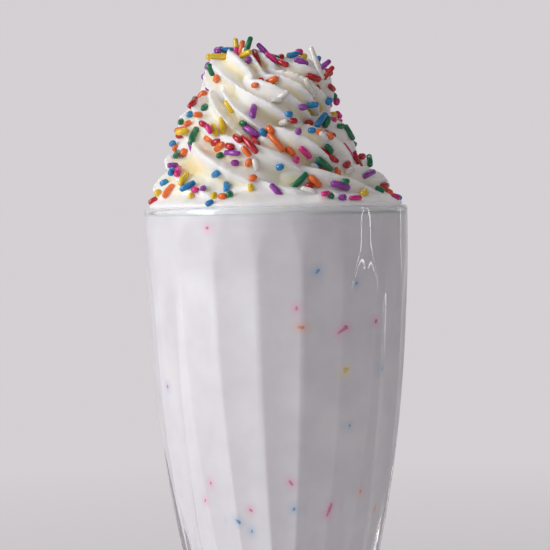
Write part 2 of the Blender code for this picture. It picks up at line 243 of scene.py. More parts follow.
@dataclass(frozen=True)
class Studio:
    """A pale floor that sweeps up into a backdrop, soft lamps and an even sky."""

    floor_colour: tuple[float, float, float] = (0.80, 0.785, 0.80)
    sky_colour: tuple[float, float, float] = (1.0, 0.955, 0.985)
    sky_strength: float = 0.15
    seen_strength: float = 0.66
    half_width: float = 8.0
    near: float = -8.0
    bend: float = 0.9
    bend_radius: float = 0.9
    wall_height: float = 2.2
    bend_steps: int = 24
    lamps: tuple[Lamp, ...] = (
        Lamp("key", (-0.95, -0.40, 0.55), (0.55, 0.75), 9.2, (0.985, 0.995, 1.0)),
        Lamp("front", (0.10, -1.30, 0.80), (0.9, 0.6), 2.0, (1.0, 0.97, 0.985)),
        Lamp("side_strip", (0.80, -0.08, 0.33), (0.008, 0.62), 0.17),
        Lamp("side_strip_beside", (0.79, -0.135, 0.33), (0.008, 0.62), 0.17),
        Lamp("back_strip", (0.60, 0.62, 0.33), (0.010, 0.62), 0.10),
        Lamp("backdrop", (0, 0.75, 1.9), (1.6, 0.5), 14.0, (1, 1, 1), (0, 1.9, 0.3)),
    )

    def build(self) -> None:
        """Lay the floor and light the scene."""
        self.sky()
        bpy.context.scene.view_settings.view_transform = "Standard"
        for lamp in self.lamps:
            lamp.build()
        self.floor()

    def sky(self) -> None:
        """Light the scene evenly, with a paler sky for the eye than for the drink."""
        world = bpy.data.worlds.new("studio_sky")
        world.use_nodes = True
        tree = world.node_tree
        background = tree.nodes["Background"]
        background.inputs["Color"].default_value = (*self.sky_colour, 1)
        path = tree.nodes.new("ShaderNodeLightPath")
        strength = tree.nodes.new("ShaderNodeMapRange")
        strength.inputs["To Min"].default_value = self.sky_strength
        strength.inputs["To Max"].default_value = self.seen_strength
        tree.links.new(path.outputs["Is Camera Ray"], strength.inputs["Value"])
        tree.links.new(strength.outputs["Result"], background.inputs["Strength"])
        bpy.context.scene.world = world

    def floor(self) -> bpy.types.Object:
        """Build the floor and backdrop as one sheet.

        Returns:
            The sheet's object.
        """
        outline = [(self.near, 0.0)]
        for step in range(self.bend_steps + 1):
            turn = math.pi / 2 * step / self.bend_steps
            rise = self.bend_radius * (1 - math.cos(turn))
            outline.append((self.bend + self.bend_radius * math.sin(turn), rise))
        outline.append((outline[-1][0], self.wall_height))
        form = bmesh.new()
        left = [form.verts.new((-self.half_width, y, z)) for y, z in outline]
        right = [form.verts.new((self.half_width, y, z)) for y, z in outline]
        for step in range(len(outline) - 1):
            form.faces.new((left[step], right[step], right[step + 1], left[step + 1]))
        sheet = object_of("floor", form)
        shade_smooth(sheet.data)
        glow = tuple(channel * self.seen_strength for channel in self.sky_colour)
        sheet.data.materials.append(PaperFinish(self.floor_colour, glow).material())
        return sheet


class Shader:
    """A material under construction, with its Principled shader and short ways to add nodes."""

    def __init__(self, name: str) -> None:
        """Start a material.

        Args:
            name: The material's name.
        """
        self.material = bpy.data.materials.new(name)
        self.material.use_nodes = True
        self.tree = self.material.node_tree
        self.surface = self.tree.nodes["Principled BSDF"]
        self.output = self.tree.nodes["Material Output"]

    def set(self, **values: object) -> None:
        """Set the shader's own sockets, with _ for the spaces in their names.

        Args:
            **values: A number or colour for each socket.
        """
        for name, value in values.items():
            self.surface.inputs[name.replace("_", " ")].default_value = value

    def add(self, kind: str, **settings: object) -> bpy.types.Node:
        """Add a node.

        Args:
            kind: The node's type.
            **settings: Its properties.

        Returns:
            The new node.
        """
        node = self.tree.nodes.new(kind)
        for name, value in settings.items():
            setattr(node, name, value)
        return node

    def join(self, source: bpy.types.NodeSocket, target: bpy.types.NodeSocket) -> None:
        """Link two sockets."""
        self.tree.links.new(source, target)

    def place(self) -> bpy.types.NodeSocket:
        """Object coordinates, in metres."""
        return self.add("ShaderNodeTexCoord").outputs["Object"]

    def noise(self, scale: float, detail: float = 2.0, roughness: float = 0.5) -> bpy.types.NodeSocket:
        """Add a noise over the piece.

        Args:
            scale: Waves per metre.
            detail: How many finer layers it has.
            roughness: How strong those are.

        Returns:
            The noise's value, about 0.5 on average.
        """
        node = self.add("ShaderNodeTexNoise")
        node.inputs["Scale"].default_value = scale
        node.inputs["Detail"].default_value = detail
        node.inputs["Roughness"].default_value = roughness
        self.join(self.place(), node.inputs["Vector"])
        return node.outputs["Fac"]

    def ramp(self, value: bpy.types.NodeSocket, low: float, high: float) -> bpy.types.NodeSocket:
        """Stretch a value so that low becomes 0 and high becomes 1.

        Args:
            value: The value to stretch.
            low: Where it starts.
            high: Where it ends.

        Returns:
            The stretched value, kept from 0 to 1.
        """
        node = self.add("ShaderNodeMapRange")
        node.inputs["From Min"].default_value = low
        node.inputs["From Max"].default_value = high
        self.join(value, node.inputs["Value"])
        return node.outputs["Result"]

    def mix(self, share: bpy.types.NodeSocket, first: object, second: object) -> bpy.types.NodeSocket:
        """Mix two colours.

        Args:
            share: How much of the second there is.
            first: A colour, or a socket that gives one.
            second: A colour, or a socket that gives one.

        Returns:
            The mixed colour.
        """
        node = self.add("ShaderNodeMix", data_type="RGBA")
        self.join(share, node.inputs[0])
        for socket, colour in ((node.inputs[6], first), (node.inputs[7], second)):
            if isinstance(colour, bpy.types.NodeSocket):
                self.join(colour, socket)
            else:
                socket.default_value = (*colour, 1)
        return node.outputs[2]

    def bump(self, height: bpy.types.NodeSocket, distance: float, strength: float = 1.0) -> None:
        """Give the surface a fine relief.

        Args:
            height: The relief's height, from 0 to 1.
            distance: The height of 1, in metres.
            strength: How much of it shows.
        """
        node = self.add("ShaderNodeBump")
        node.inputs["Distance"].default_value = distance
        node.inputs["Strength"].default_value = strength
        self.join(height, node.inputs["Height"])
        self.join(node.outputs["Normal"], self.surface.inputs["Normal"])

    def math(self, operation: str, *values: bpy.types.NodeSocket) -> bpy.types.NodeSocket:
        """Work a number out of others.

        Args:
            operation: What the Math node does.
            *values: Its numbers.

        Returns:
            The result.
        """
        node = self.add("ShaderNodeMath", operation=operation)
        for value, socket in zip(values, node.inputs):
            self.join(value, socket)
        return node.outputs[0]

    def blend(self, share: bpy.types.NodeSocket, other: bpy.types.NodeSocket) -> None:
        """Mix another shader into the surface.

        Args:
            share: How much of the other there is.
            other: The other shader.
        """
        node = self.add("ShaderNodeMixShader")
        for value, socket in zip((share, self.surface.outputs["BSDF"], other), node.inputs):
            self.join(value, socket)
        self.join(node.outputs[0], self.output.inputs["Surface"])


@dataclass(frozen=True)
class PaperFinish:
    """Matt studio paper that fades into the sky's own look away from the drink."""

    colour: tuple[float, float, float]
    glow: tuple[float, float, float]
    roughness: float = 0.8
    fade_start: float = 0.22
    fade_end: float = 0.85

    def material(self) -> bpy.types.Material:
        """Make the material.

        Returns:
            The material.
        """
        shader = Shader("studio_paper")
        shader.set(Base_Color=(*self.colour, 1), Roughness=self.roughness, Specular_IOR_Level=0.0)
        away = shader.add("ShaderNodeVectorMath", operation="LENGTH")
        shader.join(shader.place(), away.inputs[0])
        far = shader.ramp(away.outputs["Value"], self.fade_start, self.fade_end)
        path = shader.add("ShaderNodeLightPath")
        glow = shader.add("ShaderNodeEmission")
        glow.inputs["Color"].default_value = (*self.glow, 1)
        share = shader.math("MULTIPLY", far, path.outputs["Is Camera Ray"])
        shader.blend(share, glow.outputs["Emission"])
        shader.material.cycles.emission_sampling = "NONE"
        return shader.material


@dataclass(frozen=True)
class GlassFinish:
    """Clear pressed glass with a faint waviness, which lets lamps and scattered light through."""

    tint: tuple[float, float, float] = (0.985, 0.99, 0.99)
    roughness: float = 0.015
    ior: float = 1.5
    wave_scale: float = 55
    wave_detail: float = 1.0
    wave_height: float = 0.12 * MM
    wave_strength: float = 0.5

    def material(self) -> bpy.types.Material:
        """Make the material.

        Returns:
            The material.
        """
        shader = Shader("clear_pressed_glass")
        shader.set(Base_Color=(*self.tint, 1), Roughness=self.roughness, IOR=self.ior,
                   Transmission_Weight=1.0)
        waves = shader.noise(self.wave_scale, self.wave_detail)
        shader.bump(waves, self.wave_height, self.wave_strength)
        path = shader.add("ShaderNodeLightPath")
        passing = shader.math("MAXIMUM", path.outputs["Is Shadow Ray"], path.outputs["Is Diffuse Ray"])
        clear = shader.add("ShaderNodeBsdfTransparent")
        clear.inputs["Color"].default_value = (*self.tint, 1)
        shader.blend(passing, clear.outputs["BSDF"])
        return shader.material


@dataclass(frozen=True)
class DrinkFinish:
    """Thick pale milkshake: soft light inside, faint mottling, and dye that bleeds from the specks."""

    colour: tuple[float, float, float] = linear(233, 230, 233)
    shade: tuple[float, float, float] = linear(226, 222, 227)
    roughness: float = 0.32
    cloud_scale: float = 90
    cloud_detail: float = 3.0
    cloud_range: tuple[float, float] = (0.35, 0.65)
    dye_attribute: str = "dye"

    def material(self) -> bpy.types.Material:
        """Make the material.

        Returns:
            The material.
        """
        shader = Shader("pale_milkshake")
        clouds = shader.ramp(shader.noise(self.cloud_scale, self.cloud_detail), *self.cloud_range)
        base = shader.mix(clouds, self.colour, self.shade)
        dye = shader.add("ShaderNodeAttribute", attribute_name=self.dye_attribute)
        dyed = shader.mix(dye.outputs["Alpha"], base, dye.outputs["Color"])
        shader.join(dyed, shader.surface.inputs["Base Color"])
        shader.set(Roughness=self.roughness, Subsurface_Weight=0.5, Subsurface_Scale=2.5 * MM,
                   Subsurface_Radius=(1.0, 0.8, 0.7), IOR=1.35)
        return shader.material


@dataclass(frozen=True)
class CreamFinish:
    """Whipped cream: warm white, soft inside, with a fine airy grain, and a painted warm yellow shade in
    its hollows.
    """

    colour: tuple[float, float, float] = linear(254, 251, 245)
    # Painted shade: a darker, yellower colour that the deepest parts of the valleys take, where shade
    # falls.
    hollow: tuple[float, float, float] = linear(251, 228, 172)
    roughness: float = 0.42
    valley_shade_range: tuple[float, float] = (0.35, 1.0)
    patch_scale: float = 70
    patch_range: tuple[float, float] = (0.28, 0.62)
    grain_scale: float = 900
    grain_detail: float = 3.0
    grain_roughness: float = 0.6
    grain_height: float = 0.10 * MM
    grain_strength: float = 0.6
    shade_depth_attribute: str = "hollow"

    def material(self) -> bpy.types.Material:
        """Make the material.

        Returns:
            The material.
        """
        shader = Shader("whipped_cream")
        # Painted shade: the colour goes warmer and darker with depth in the valleys, in random patches.
        depth = shader.add("ShaderNodeAttribute", attribute_name=self.shade_depth_attribute)
        deep = shader.ramp(depth.outputs["Fac"], *self.valley_shade_range)
        patches = shader.ramp(shader.noise(self.patch_scale), *self.patch_range)
        tone = shader.mix(shader.math("MULTIPLY", deep, patches), self.colour, self.hollow)
        shader.join(tone, shader.surface.inputs["Base Color"])
        shader.set(Roughness=self.roughness, Subsurface_Weight=0.7, Subsurface_Scale=3.0 * MM,
                   Subsurface_Radius=(1.0, 0.8, 0.5), IOR=1.4)
        grain = shader.noise(self.grain_scale, self.grain_detail, self.grain_roughness)
        shader.bump(grain, self.grain_height, self.grain_strength)
        return shader.material


@dataclass(frozen=True)
class SprinkleFinish:
    """Glazed sugar: one colour, a little uneven, under a clear shine."""

    name: str
    colour: tuple[float, float, float]
    gloss: float = 0.22
    shade: float = 0.78
    patch_scale: float = 700
    patch_range: tuple[float, float] = (0.3, 0.7)
    pit_scale: float = 1500
    pit_detail: float = 1.0
    pit_height: float = 0.04 * MM
    pit_strength: float = 0.5

    def material(self) -> bpy.types.Material:
        """Make the material.

        Returns:
            The material.
        """
        shader = Shader(self.name)
        darker = tuple(channel * self.shade for channel in self.colour)
        patches = shader.ramp(shader.noise(self.patch_scale), *self.patch_range)
        shader.join(shader.mix(patches, self.colour, darker), shader.surface.inputs["Base Color"])
        shader.set(Roughness=self.gloss, Coat_Weight=0.35, Coat_Roughness=0.12, Subsurface_Weight=0.15,
                   Subsurface_Scale=0.6 * MM)
        pits = shader.noise(self.pit_scale, self.pit_detail)
        shader.bump(pits, self.pit_height, self.pit_strength)
        return shader.material


class Hue(Enum):
    """The sprinkles' colours, as the photo shows them in full light."""

    RED = (196, 28, 38)
    ORANGE = (250, 120, 44)
    YELLOW = (248, 208, 44)
    GREEN = (8, 122, 78)
    BLUE = (32, 140, 204)
    PURPLE = (156, 62, 170)
    PINK = (230, 44, 142)
    WHITE = (246, 242, 236)

    @property
    def label(self) -> str:
        """The colour's plain name."""
        return self.name.lower()


class GeometryTree:
    """A Geometry Nodes tree under construction."""

    def __init__(self, name: str, numbers: dict[str, float], material: bpy.types.Material) -> None:
        """Start a tree with a geometry input and named number inputs.

        Args:
            name: The tree's name.
            numbers: Each number input's name and value.
            material: The material that the result gets.
        """
        self.tree = bpy.data.node_groups.new(name, "GeometryNodeTree")
        self.material = material
        self.numbers = numbers
        face = self.tree.interface
        face.new_socket("Geometry", in_out="INPUT", socket_type="NodeSocketGeometry")
        for number, value in numbers.items():
            kind = "NodeSocketInt" if isinstance(value, int) else "NodeSocketFloat"
            face.new_socket(number, in_out="INPUT", socket_type=kind).default_value = value
        face.new_socket("Material", in_out="INPUT", socket_type="NodeSocketMaterial")
        face.new_socket("Geometry", in_out="OUTPUT", socket_type="NodeSocketGeometry")
        self.inputs = self.tree.nodes.new("NodeGroupInput").outputs
        self.result = self.tree.nodes.new("NodeGroupOutput").inputs["Geometry"]

    def add(self, kind: str, links: dict[str | int, object], **settings: object) -> bpy.types.Node:
        """Add a node.

        Args:
            kind: The node's type.
            links: What goes into each of its sockets: another socket, or a value.
            **settings: Its properties.

        Returns:
            The new node.
        """
        node = self.tree.nodes.new(kind)
        for name, value in settings.items():
            setattr(node, name, value)
        for name, value in links.items():
            if isinstance(value, bpy.types.NodeSocket):
                self.tree.links.new(value, node.inputs[name])
            else:
                node.inputs[name].default_value = value
        return node

    def math(self, operation: str, *values: object) -> bpy.types.NodeSocket:
        """Add a sum.

        Args:
            operation: What the Math node does.
            *values: Its numbers, each a socket or a value.

        Returns:
            The result.
        """
        return self.add("ShaderNodeMath", dict(enumerate(values)), operation=operation).outputs[0]

    def vector(self, operation: str, *values: object, scale: object = None) -> bpy.types.NodeSocket:
        """Add a sum of vectors.

        Args:
            operation: What the Vector Math node does.
            *values: Its vectors, each a socket or a value.
            scale: The number of a SCALE.

        Returns:
            The result.
        """
        links = dict(enumerate(values))
        if scale is not None:
            links["Scale"] = scale
        return self.add("ShaderNodeVectorMath", links, operation=operation).outputs["Vector"]

    def ramp(self, value: object, low: object, high: object, smooth: bool = False) -> bpy.types.NodeSocket:
        """Stretch a value so that low becomes 0 and high becomes 1.

        Args:
            value: The value to stretch.
            low: Where it starts.
            high: Where it ends.
            smooth: Whether both ends ease in.

        Returns:
            The stretched value.
        """
        kind = "SMOOTHSTEP" if smooth else "LINEAR"
        links = {"Value": value, "From Min": low, "From Max": high}
        return self.add("ShaderNodeMapRange", links, interpolation_type=kind).outputs["Result"]

    def stored(self, name: str, kind: str = "FLOAT") -> bpy.types.NodeSocket:
        """Read an attribute of the geometry by name."""
        node = self.add("GeometryNodeInputNamedAttribute", {"Name": name}, data_type=kind)
        return node.outputs["Attribute"]

    def finish(self, geometry: bpy.types.NodeSocket) -> None:
        """Close the tree: instances made real, and the material set.

        Args:
            geometry: The geometry that the tree has made.
        """
        real = self.add("GeometryNodeRealizeInstances", {"Geometry": geometry}).outputs[0]
        smooth = self.add("GeometryNodeSetShadeSmooth", {"Geometry": real}).outputs[0]
        links = {"Geometry": smooth, "Material": self.inputs["Material"]}
        dressed = self.add("GeometryNodeSetMaterial", links).outputs[0]
        self.tree.links.new(dressed, self.result)

    def apply(self, item: bpy.types.Object) -> None:
        """Run the tree on an object and keep the result as its plain mesh.

        Args:
            item: The object whose mesh goes in.
        """
        modifier = item.modifiers.new(self.tree.name, "NODES")
        modifier.node_group = self.tree
        values = dict(self.numbers)
        values["Material"] = self.material
        for socket in self.tree.interface.items_tree:
            if socket.in_out == "INPUT" and socket.name in values:
                modifier[socket.identifier] = values[socket.name]
        bake(item)


@dataclass(frozen=True)
class Ring:
    """One ring of a turned blank, with its share of the flutes' depth and how much higher they reach."""

    radius: float
    height: float
    flutes: float = 0.0
    lift: float = 0.0


def turned_blank(name: str, rings: Sequence[Ring], steps: int, start: float) -> bpy.types.Object:
    """Turn rings round Z into a closed blank. Rings of no radius close it.

    Args:
        name: The piece's name.
        rings: The profile, from axis to axis, down its outer side.
        steps: How many columns it has.
        start: The first column's angle.

    Returns:
        The blank, whose points carry their share of the flutes and how much higher their arches reach.
    """
    form = bmesh.new()
    share = form.verts.layers.float.new("flute_share")
    lift = form.verts.layers.float.new("arch_lift")
    turns = [start + FULL_TURN * step / steps for step in range(steps)]
    columns = [(math.cos(turn), math.sin(turn)) for turn in turns]
    rows = []
    for ring in rings:
        around = columns if ring.radius > 0 else [(0, 0)]
        row = [form.verts.new((ring.radius * x, ring.radius * y, ring.height)) for x, y in around]
        for vertex in row:
            vertex[share] = ring.flutes
            vertex[lift] = ring.lift
        rows.append(row)
    for upper, lower in zip(rows, rows[1:]):
        for step in range(steps):
            beside = (step + 1) % steps
            if len(upper) == 1:
                form.faces.new((upper[0], lower[step], lower[beside]))
            elif len(lower) == 1:
                form.faces.new((upper[step], lower[0], upper[beside]))
            else:
                form.faces.new((upper[step], lower[step], lower[beside], upper[beside]))
    bmesh.ops.recalc_face_normals(form, faces=form.faces)
    return object_of(name, form)


@dataclass(frozen=True)
class Flutes:
    """The arched flutes round the bowl, cut by a Geometry Nodes tree."""

    count: int = 18
    turn: float = math.radians(1)
    depth_share: float = 0.028
    low_share: float = 0.05
    low_depth: float = 100 * MM
    top: float = 10 * MM
    full: float = 35 * MM
    end_depth: float = 152 * MM
    fade: float = 12 * MM
    edge_softness: float = 0.22

    def cut(self, blank: bpy.types.Object, rim: float, material: bpy.types.Material) -> None:
        """Press the flutes into a turned blank.

        Args:
            blank: The blank, with its flute_share attribute.
            rim: The height of the glass's rim.
            material: The finish that the result gets.
        """
        numbers = {
            "Flutes": float(self.count), "Turn": self.turn, "Rim Height": rim,
            "Depth Share": self.depth_share, "Low Share": self.low_share, "Low Depth": self.low_depth,
            "Arch Top": self.top, "Full Depth": self.full, "Bowl End": self.end_depth,
            "Fade": self.fade, "Edge Softness": self.edge_softness,
        }
        tree = GeometryTree("press_flutes", numbers, material)
        given = tree.inputs
        position = tree.add("GeometryNodeInputPosition", {}).outputs[0]
        parts = tree.add("ShaderNodeSeparateXYZ", {0: position}).outputs
        angle = tree.math("ARCTAN2", parts["Y"], parts["X"])
        turns = tree.math("DIVIDE", tree.math("SUBTRACT", angle, given["Turn"]), FULL_TURN)
        place = tree.math("FRACT", tree.math("MULTIPLY", turns, given["Flutes"]))
        across = tree.math("MULTIPLY_ADD", place, 2.0, -1.0)
        below_rim = tree.math("SUBTRACT", given["Rim Height"], parts["Z"])
        reach = tree.math("ADD", below_rim, tree.stored("arch_lift"))
        rise = tree.ramp(reach, given["Arch Top"], given["Full Depth"], smooth=True)
        to_end = tree.math("SUBTRACT", given["Bowl End"], below_rim)
        fade = tree.ramp(to_end, 0.0, given["Fade"])
        hollow = tree.math("SUBTRACT", rise, tree.math("MULTIPLY", across, across))
        outermost = tree.math("POWER", tree.stored("flute_share"), 2.0)
        softness = tree.math("MULTIPLY", given["Edge Softness"], outermost)
        square = tree.math("POWER", softness, 2.0)
        root = tree.math("SQRT", tree.math("MULTIPLY_ADD", hollow, hollow, square))
        soft = tree.math("MULTIPLY", tree.math("ADD", hollow, root), 0.5)
        growth = tree.add("ShaderNodeMapRange", {
            "Value": below_rim, "From Min": 0.0, "From Max": given["Low Depth"],
            "To Min": given["Depth Share"], "To Max": given["Low Share"],
        }).outputs["Result"]
        share = tree.math("MULTIPLY", tree.math("MULTIPLY", growth, tree.stored("flute_share")), fade)
        shrink = tree.math("MULTIPLY_ADD", tree.math("MULTIPLY", soft, share), -1.0, 1.0)
        scale = tree.add("ShaderNodeCombineXYZ", {"X": shrink, "Y": shrink, "Z": 1.0}).outputs[0]
        moved = tree.vector("MULTIPLY", position, scale)
        shaped = tree.add("GeometryNodeSetPosition", {"Geometry": given["Geometry"], "Position": moved})
        tree.finish(shaped.outputs[0])
        tree.apply(blank)


@dataclass(frozen=True)
class SodaGlass:
    """The footed glass: its bowl, lip, cavity, neck and foot, turned as one and then fluted."""

    height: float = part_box("glass")[1][2]
    rim_radius: float = 41 * MM
    narrowing: float = 23.5 * MM
    bowl_length: float = 156 * MM
    bowl_power: float = 2.3
    bowl_end: float = 152 * MM
    rim_wall: float = 2.4 * MM
    wall_growth: float = 9.4 * MM
    wall_power: float = 2.0
    cavity_curve: float = 134 * MM
    cavity_bowl: float = 10.5 * MM
    neck_radius: float = 17 * MM
    neck_height: float = 17.5 * MM
    foot_radius: float = 38 * MM
    foot_edge: float = 4 * MM
    hollow_radius: float = 29 * MM
    hollow_depth: float = 3 * MM
    inner_flutes: float = 0.55
    inner_lift: float = 14 * MM
    steps: int = 288
    base_steps: int = 14
    cavity_steps: int = 56
    lip_steps: int = 12
    bowl_steps: int = 100
    neck_steps: int = 8
    flare_steps: int = 22
    edge_steps: int = 12
    hollow_steps: int = 9
    on_axis: float = 1e-7
    flutes: Flutes = Flutes()
    finish: GlassFinish = GlassFinish()

    @property
    def lip_radius(self) -> float:
        """Radius of the rounded lip's section."""
        return self.rim_wall / 2

    @property
    def lip_centre(self) -> tuple[float, float]:
        """Radius and height of the middle of the lip's section."""
        return self.rim_radius - self.lip_radius, self.height - self.lip_radius

    def outer(self, depth: float) -> float:
        """Outer radius of the bowl at a depth below the rim."""
        return self.rim_radius - self.narrowing * (max(depth, 0) / self.bowl_length) ** self.bowl_power

    def inner(self, depth: float) -> float:
        """Inner radius of the bowl at a depth below the rim."""
        wall = self.rim_wall + self.wall_growth * (max(depth, 0) / self.cavity_curve) ** self.wall_power
        return self.outer(depth) - wall

    def arc(self, centre: tuple[float, float], radii: tuple[float, float], start: float, end: float,
            steps: int) -> list[Ring]:
        """List rings on an ellipse's arc.

        Args:
            centre: Radius and height of its centre.
            radii: Its half widths across and up.
            start: Its first angle, in degrees from outwards towards up.
            end: Its last angle.
            steps: How many steps it has.

        Returns:
            The rings.
        """
        rings = []
        for step in range(steps + 1):
            angle = math.radians(start + (end - start) * step / steps)
            radius = centre[0] + radii[0] * math.cos(angle)
            radius = radius if radius > self.on_axis else 0
            rings.append(Ring(radius, centre[1] + radii[1] * math.sin(angle)))
        return rings

    def cavity(self, top_depth: float, steps: int, extra: float = 0.0) -> list[Ring]:
        """List the cavity's rings from its bottom up.

        Args:
            top_depth: How far below the rim they end.
            steps: How many steps the straight part has.
            extra: How much larger than the cavity they are.

        Returns:
            The rings.
        """
        curve = self.cavity_curve
        radii = (self.inner(curve) + extra, self.cavity_bowl + extra)
        rings = self.arc((0, self.height - curve), radii, -90, 0, self.base_steps)
        for step in range(1, steps + 1):
            depth = curve + (top_depth - curve) * step / steps
            rings.append(Ring(self.inner(depth) + extra, self.height - depth))
        return [replace(ring, flutes=self.inner_flutes, lift=self.inner_lift) for ring in rings]

    def bowl(self) -> list[Ring]:
        """List the outer rings from under the lip to the neck.

        Returns:
            The rings.
        """
        rings = []
        for step in range(1, self.bowl_steps + 1):
            depth = self.lip_radius + (self.bowl_end - self.lip_radius) * step / self.bowl_steps
            rings.append(Ring(self.outer(depth), self.height - depth, 1.0))
        return rings

    def neck(self) -> list[Ring]:
        """List the rings that bend from the bowl into the narrowest place.

        Returns:
            The rings.
        """
        start = Vector((self.outer(self.bowl_end), self.height - self.bowl_end))
        end = Vector((self.neck_radius, self.neck_height))
        bend = Vector((self.neck_radius, (start.y + end.y) / 2))
        rings = []
        for step in range(1, self.neck_steps + 1):
            t = step / self.neck_steps
            place = start * (1 - t) ** 2 + bend * 2 * t * (1 - t) + end * t ** 2
            rings.append(Ring(place.x, place.y))
        return rings

    def foot(self) -> list[Ring]:
        """List the rings of the foot's flare, edge and hollow underside.

        Returns:
            The rings.
        """
        edge = self.foot_edge / 2
        flat_end = self.foot_radius - edge
        flare_radii = (flat_end - self.neck_radius, self.neck_height - self.foot_edge)
        flare = self.arc((flat_end, self.neck_height), flare_radii, 180, 270, self.flare_steps)
        rounding = self.arc((flat_end, edge), (edge, edge), 90, -90, self.edge_steps)
        hollow = self.arc((0, 0), (self.hollow_radius, self.hollow_depth), 0, 90, self.hollow_steps)
        return flare[1:] + rounding[1:] + hollow

    def build(self) -> bpy.types.Object:
        """Build the glass and let it stand for its solid.

        Returns:
            The glass.
        """
        rings = self.cavity(self.lip_radius, self.cavity_steps)[:-1]
        rings += self.arc(self.lip_centre, (self.lip_radius, self.lip_radius), 180, 0, self.lip_steps)
        rings += self.bowl() + self.neck() + self.foot()
        item = turned_blank("soda_glass", rings, self.steps, self.flutes.turn)
        self.flutes.cut(item, self.height, self.finish.material())
        wear(item, Node.GLASS)
        return item


def wear(piece: bpy.types.Object, stands_for: Node) -> None:
    """Tie a piece to the frame and log it.

    Args:
        piece: The finished piece.
        stands_for: The solid that it replaces.
    """
    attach(piece, "root")
    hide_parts(stands_for.value)
    triangles = sum(len(face.vertices) - 2 for face in piece.data.polygons)
    LOG.info("%s: %d triangles", piece.name, triangles)


Keys = tuple[tuple[float, float], ...]


def eased(keys: Keys, place: float) -> float:
    """Read a smooth curve through its keys.

    Args:
        keys: Rows of place and value.
        place: Where to read it.

    Returns:
        The value there.
    """
    index = 0
    while index < len(keys) - 2 and place > keys[index + 1][0]:
        index += 1
    before = keys[max(index - 1, 0)]
    start = keys[index]
    end = keys[index + 1]
    after = keys[min(index + 2, len(keys) - 1)]
    span = end[0] - start[0]
    t = (place - start[0]) / span
    leave = (end[1] - before[1]) / (end[0] - before[0]) * span
    arrive = (after[1] - start[1]) / (after[0] - start[0]) * span
    value = (2 * t ** 3 - 3 * t ** 2 + 1) * start[1] + (t ** 3 - 2 * t ** 2 + t) * leave
    return value + (3 * t ** 2 - 2 * t ** 3) * end[1] + (t ** 3 - t ** 2) * arrive


@dataclass(frozen=True)
class Sway:
    """A slow unevenness along the rope, made of a broad wave and a finer one."""

    size: float
    rate: float
    phase: float = 0
    fine_share: float = 0.4
    fine_rate: float = 2.3
    fine_phase: float = 2.1

    def at(self, angle: float, shift: float = 0) -> float:
        """Read it at an angle.

        Args:
            angle: Where along the rope.
            shift: What is added to its phase.

        Returns:
            The value, from minus its size to its size.
        """
        phase = self.phase + shift
        broad = (1 - self.fine_share) * math.sin(self.rate * angle + phase)
        fine = self.fine_share * math.sin(self.fine_rate * self.rate * angle + self.fine_phase * phase + 1)
        return self.size * (broad + fine)


class Relief:
    """A mesh that can be asked for one of its stored values anywhere near its surface."""

    least_distance = 1e-5

    def __init__(self, mesh: bpy.types.Mesh, attribute: str) -> None:
        """Take the mesh's surface and values.

        Args:
            mesh: The mesh.
            attribute: The name of the stored value.
        """
        self.points = [vertex.co.copy() for vertex in mesh.vertices]
        self.faces = [tuple(face.vertices) for face in mesh.polygons]
        self.values = [entry.value for entry in mesh.attributes[attribute].data]
        self.tree = BVHTree.FromPolygons(self.points, self.faces)

    def at(self, place: Vector) -> float:
        """Read the value at the surface point nearest to a place.

        Args:
            place: The place.

        Returns:
            The value, from the nearest face's corners.
        """
        near, _, face, _ = self.tree.find_nearest(place)
        corners = self.faces[face]
        weights = [1 / ((self.points[corner] - near).length + self.least_distance) for corner in corners]
        total = sum(weight * self.values[corner] for weight, corner in zip(weights, corners))
        return total / sum(weights)


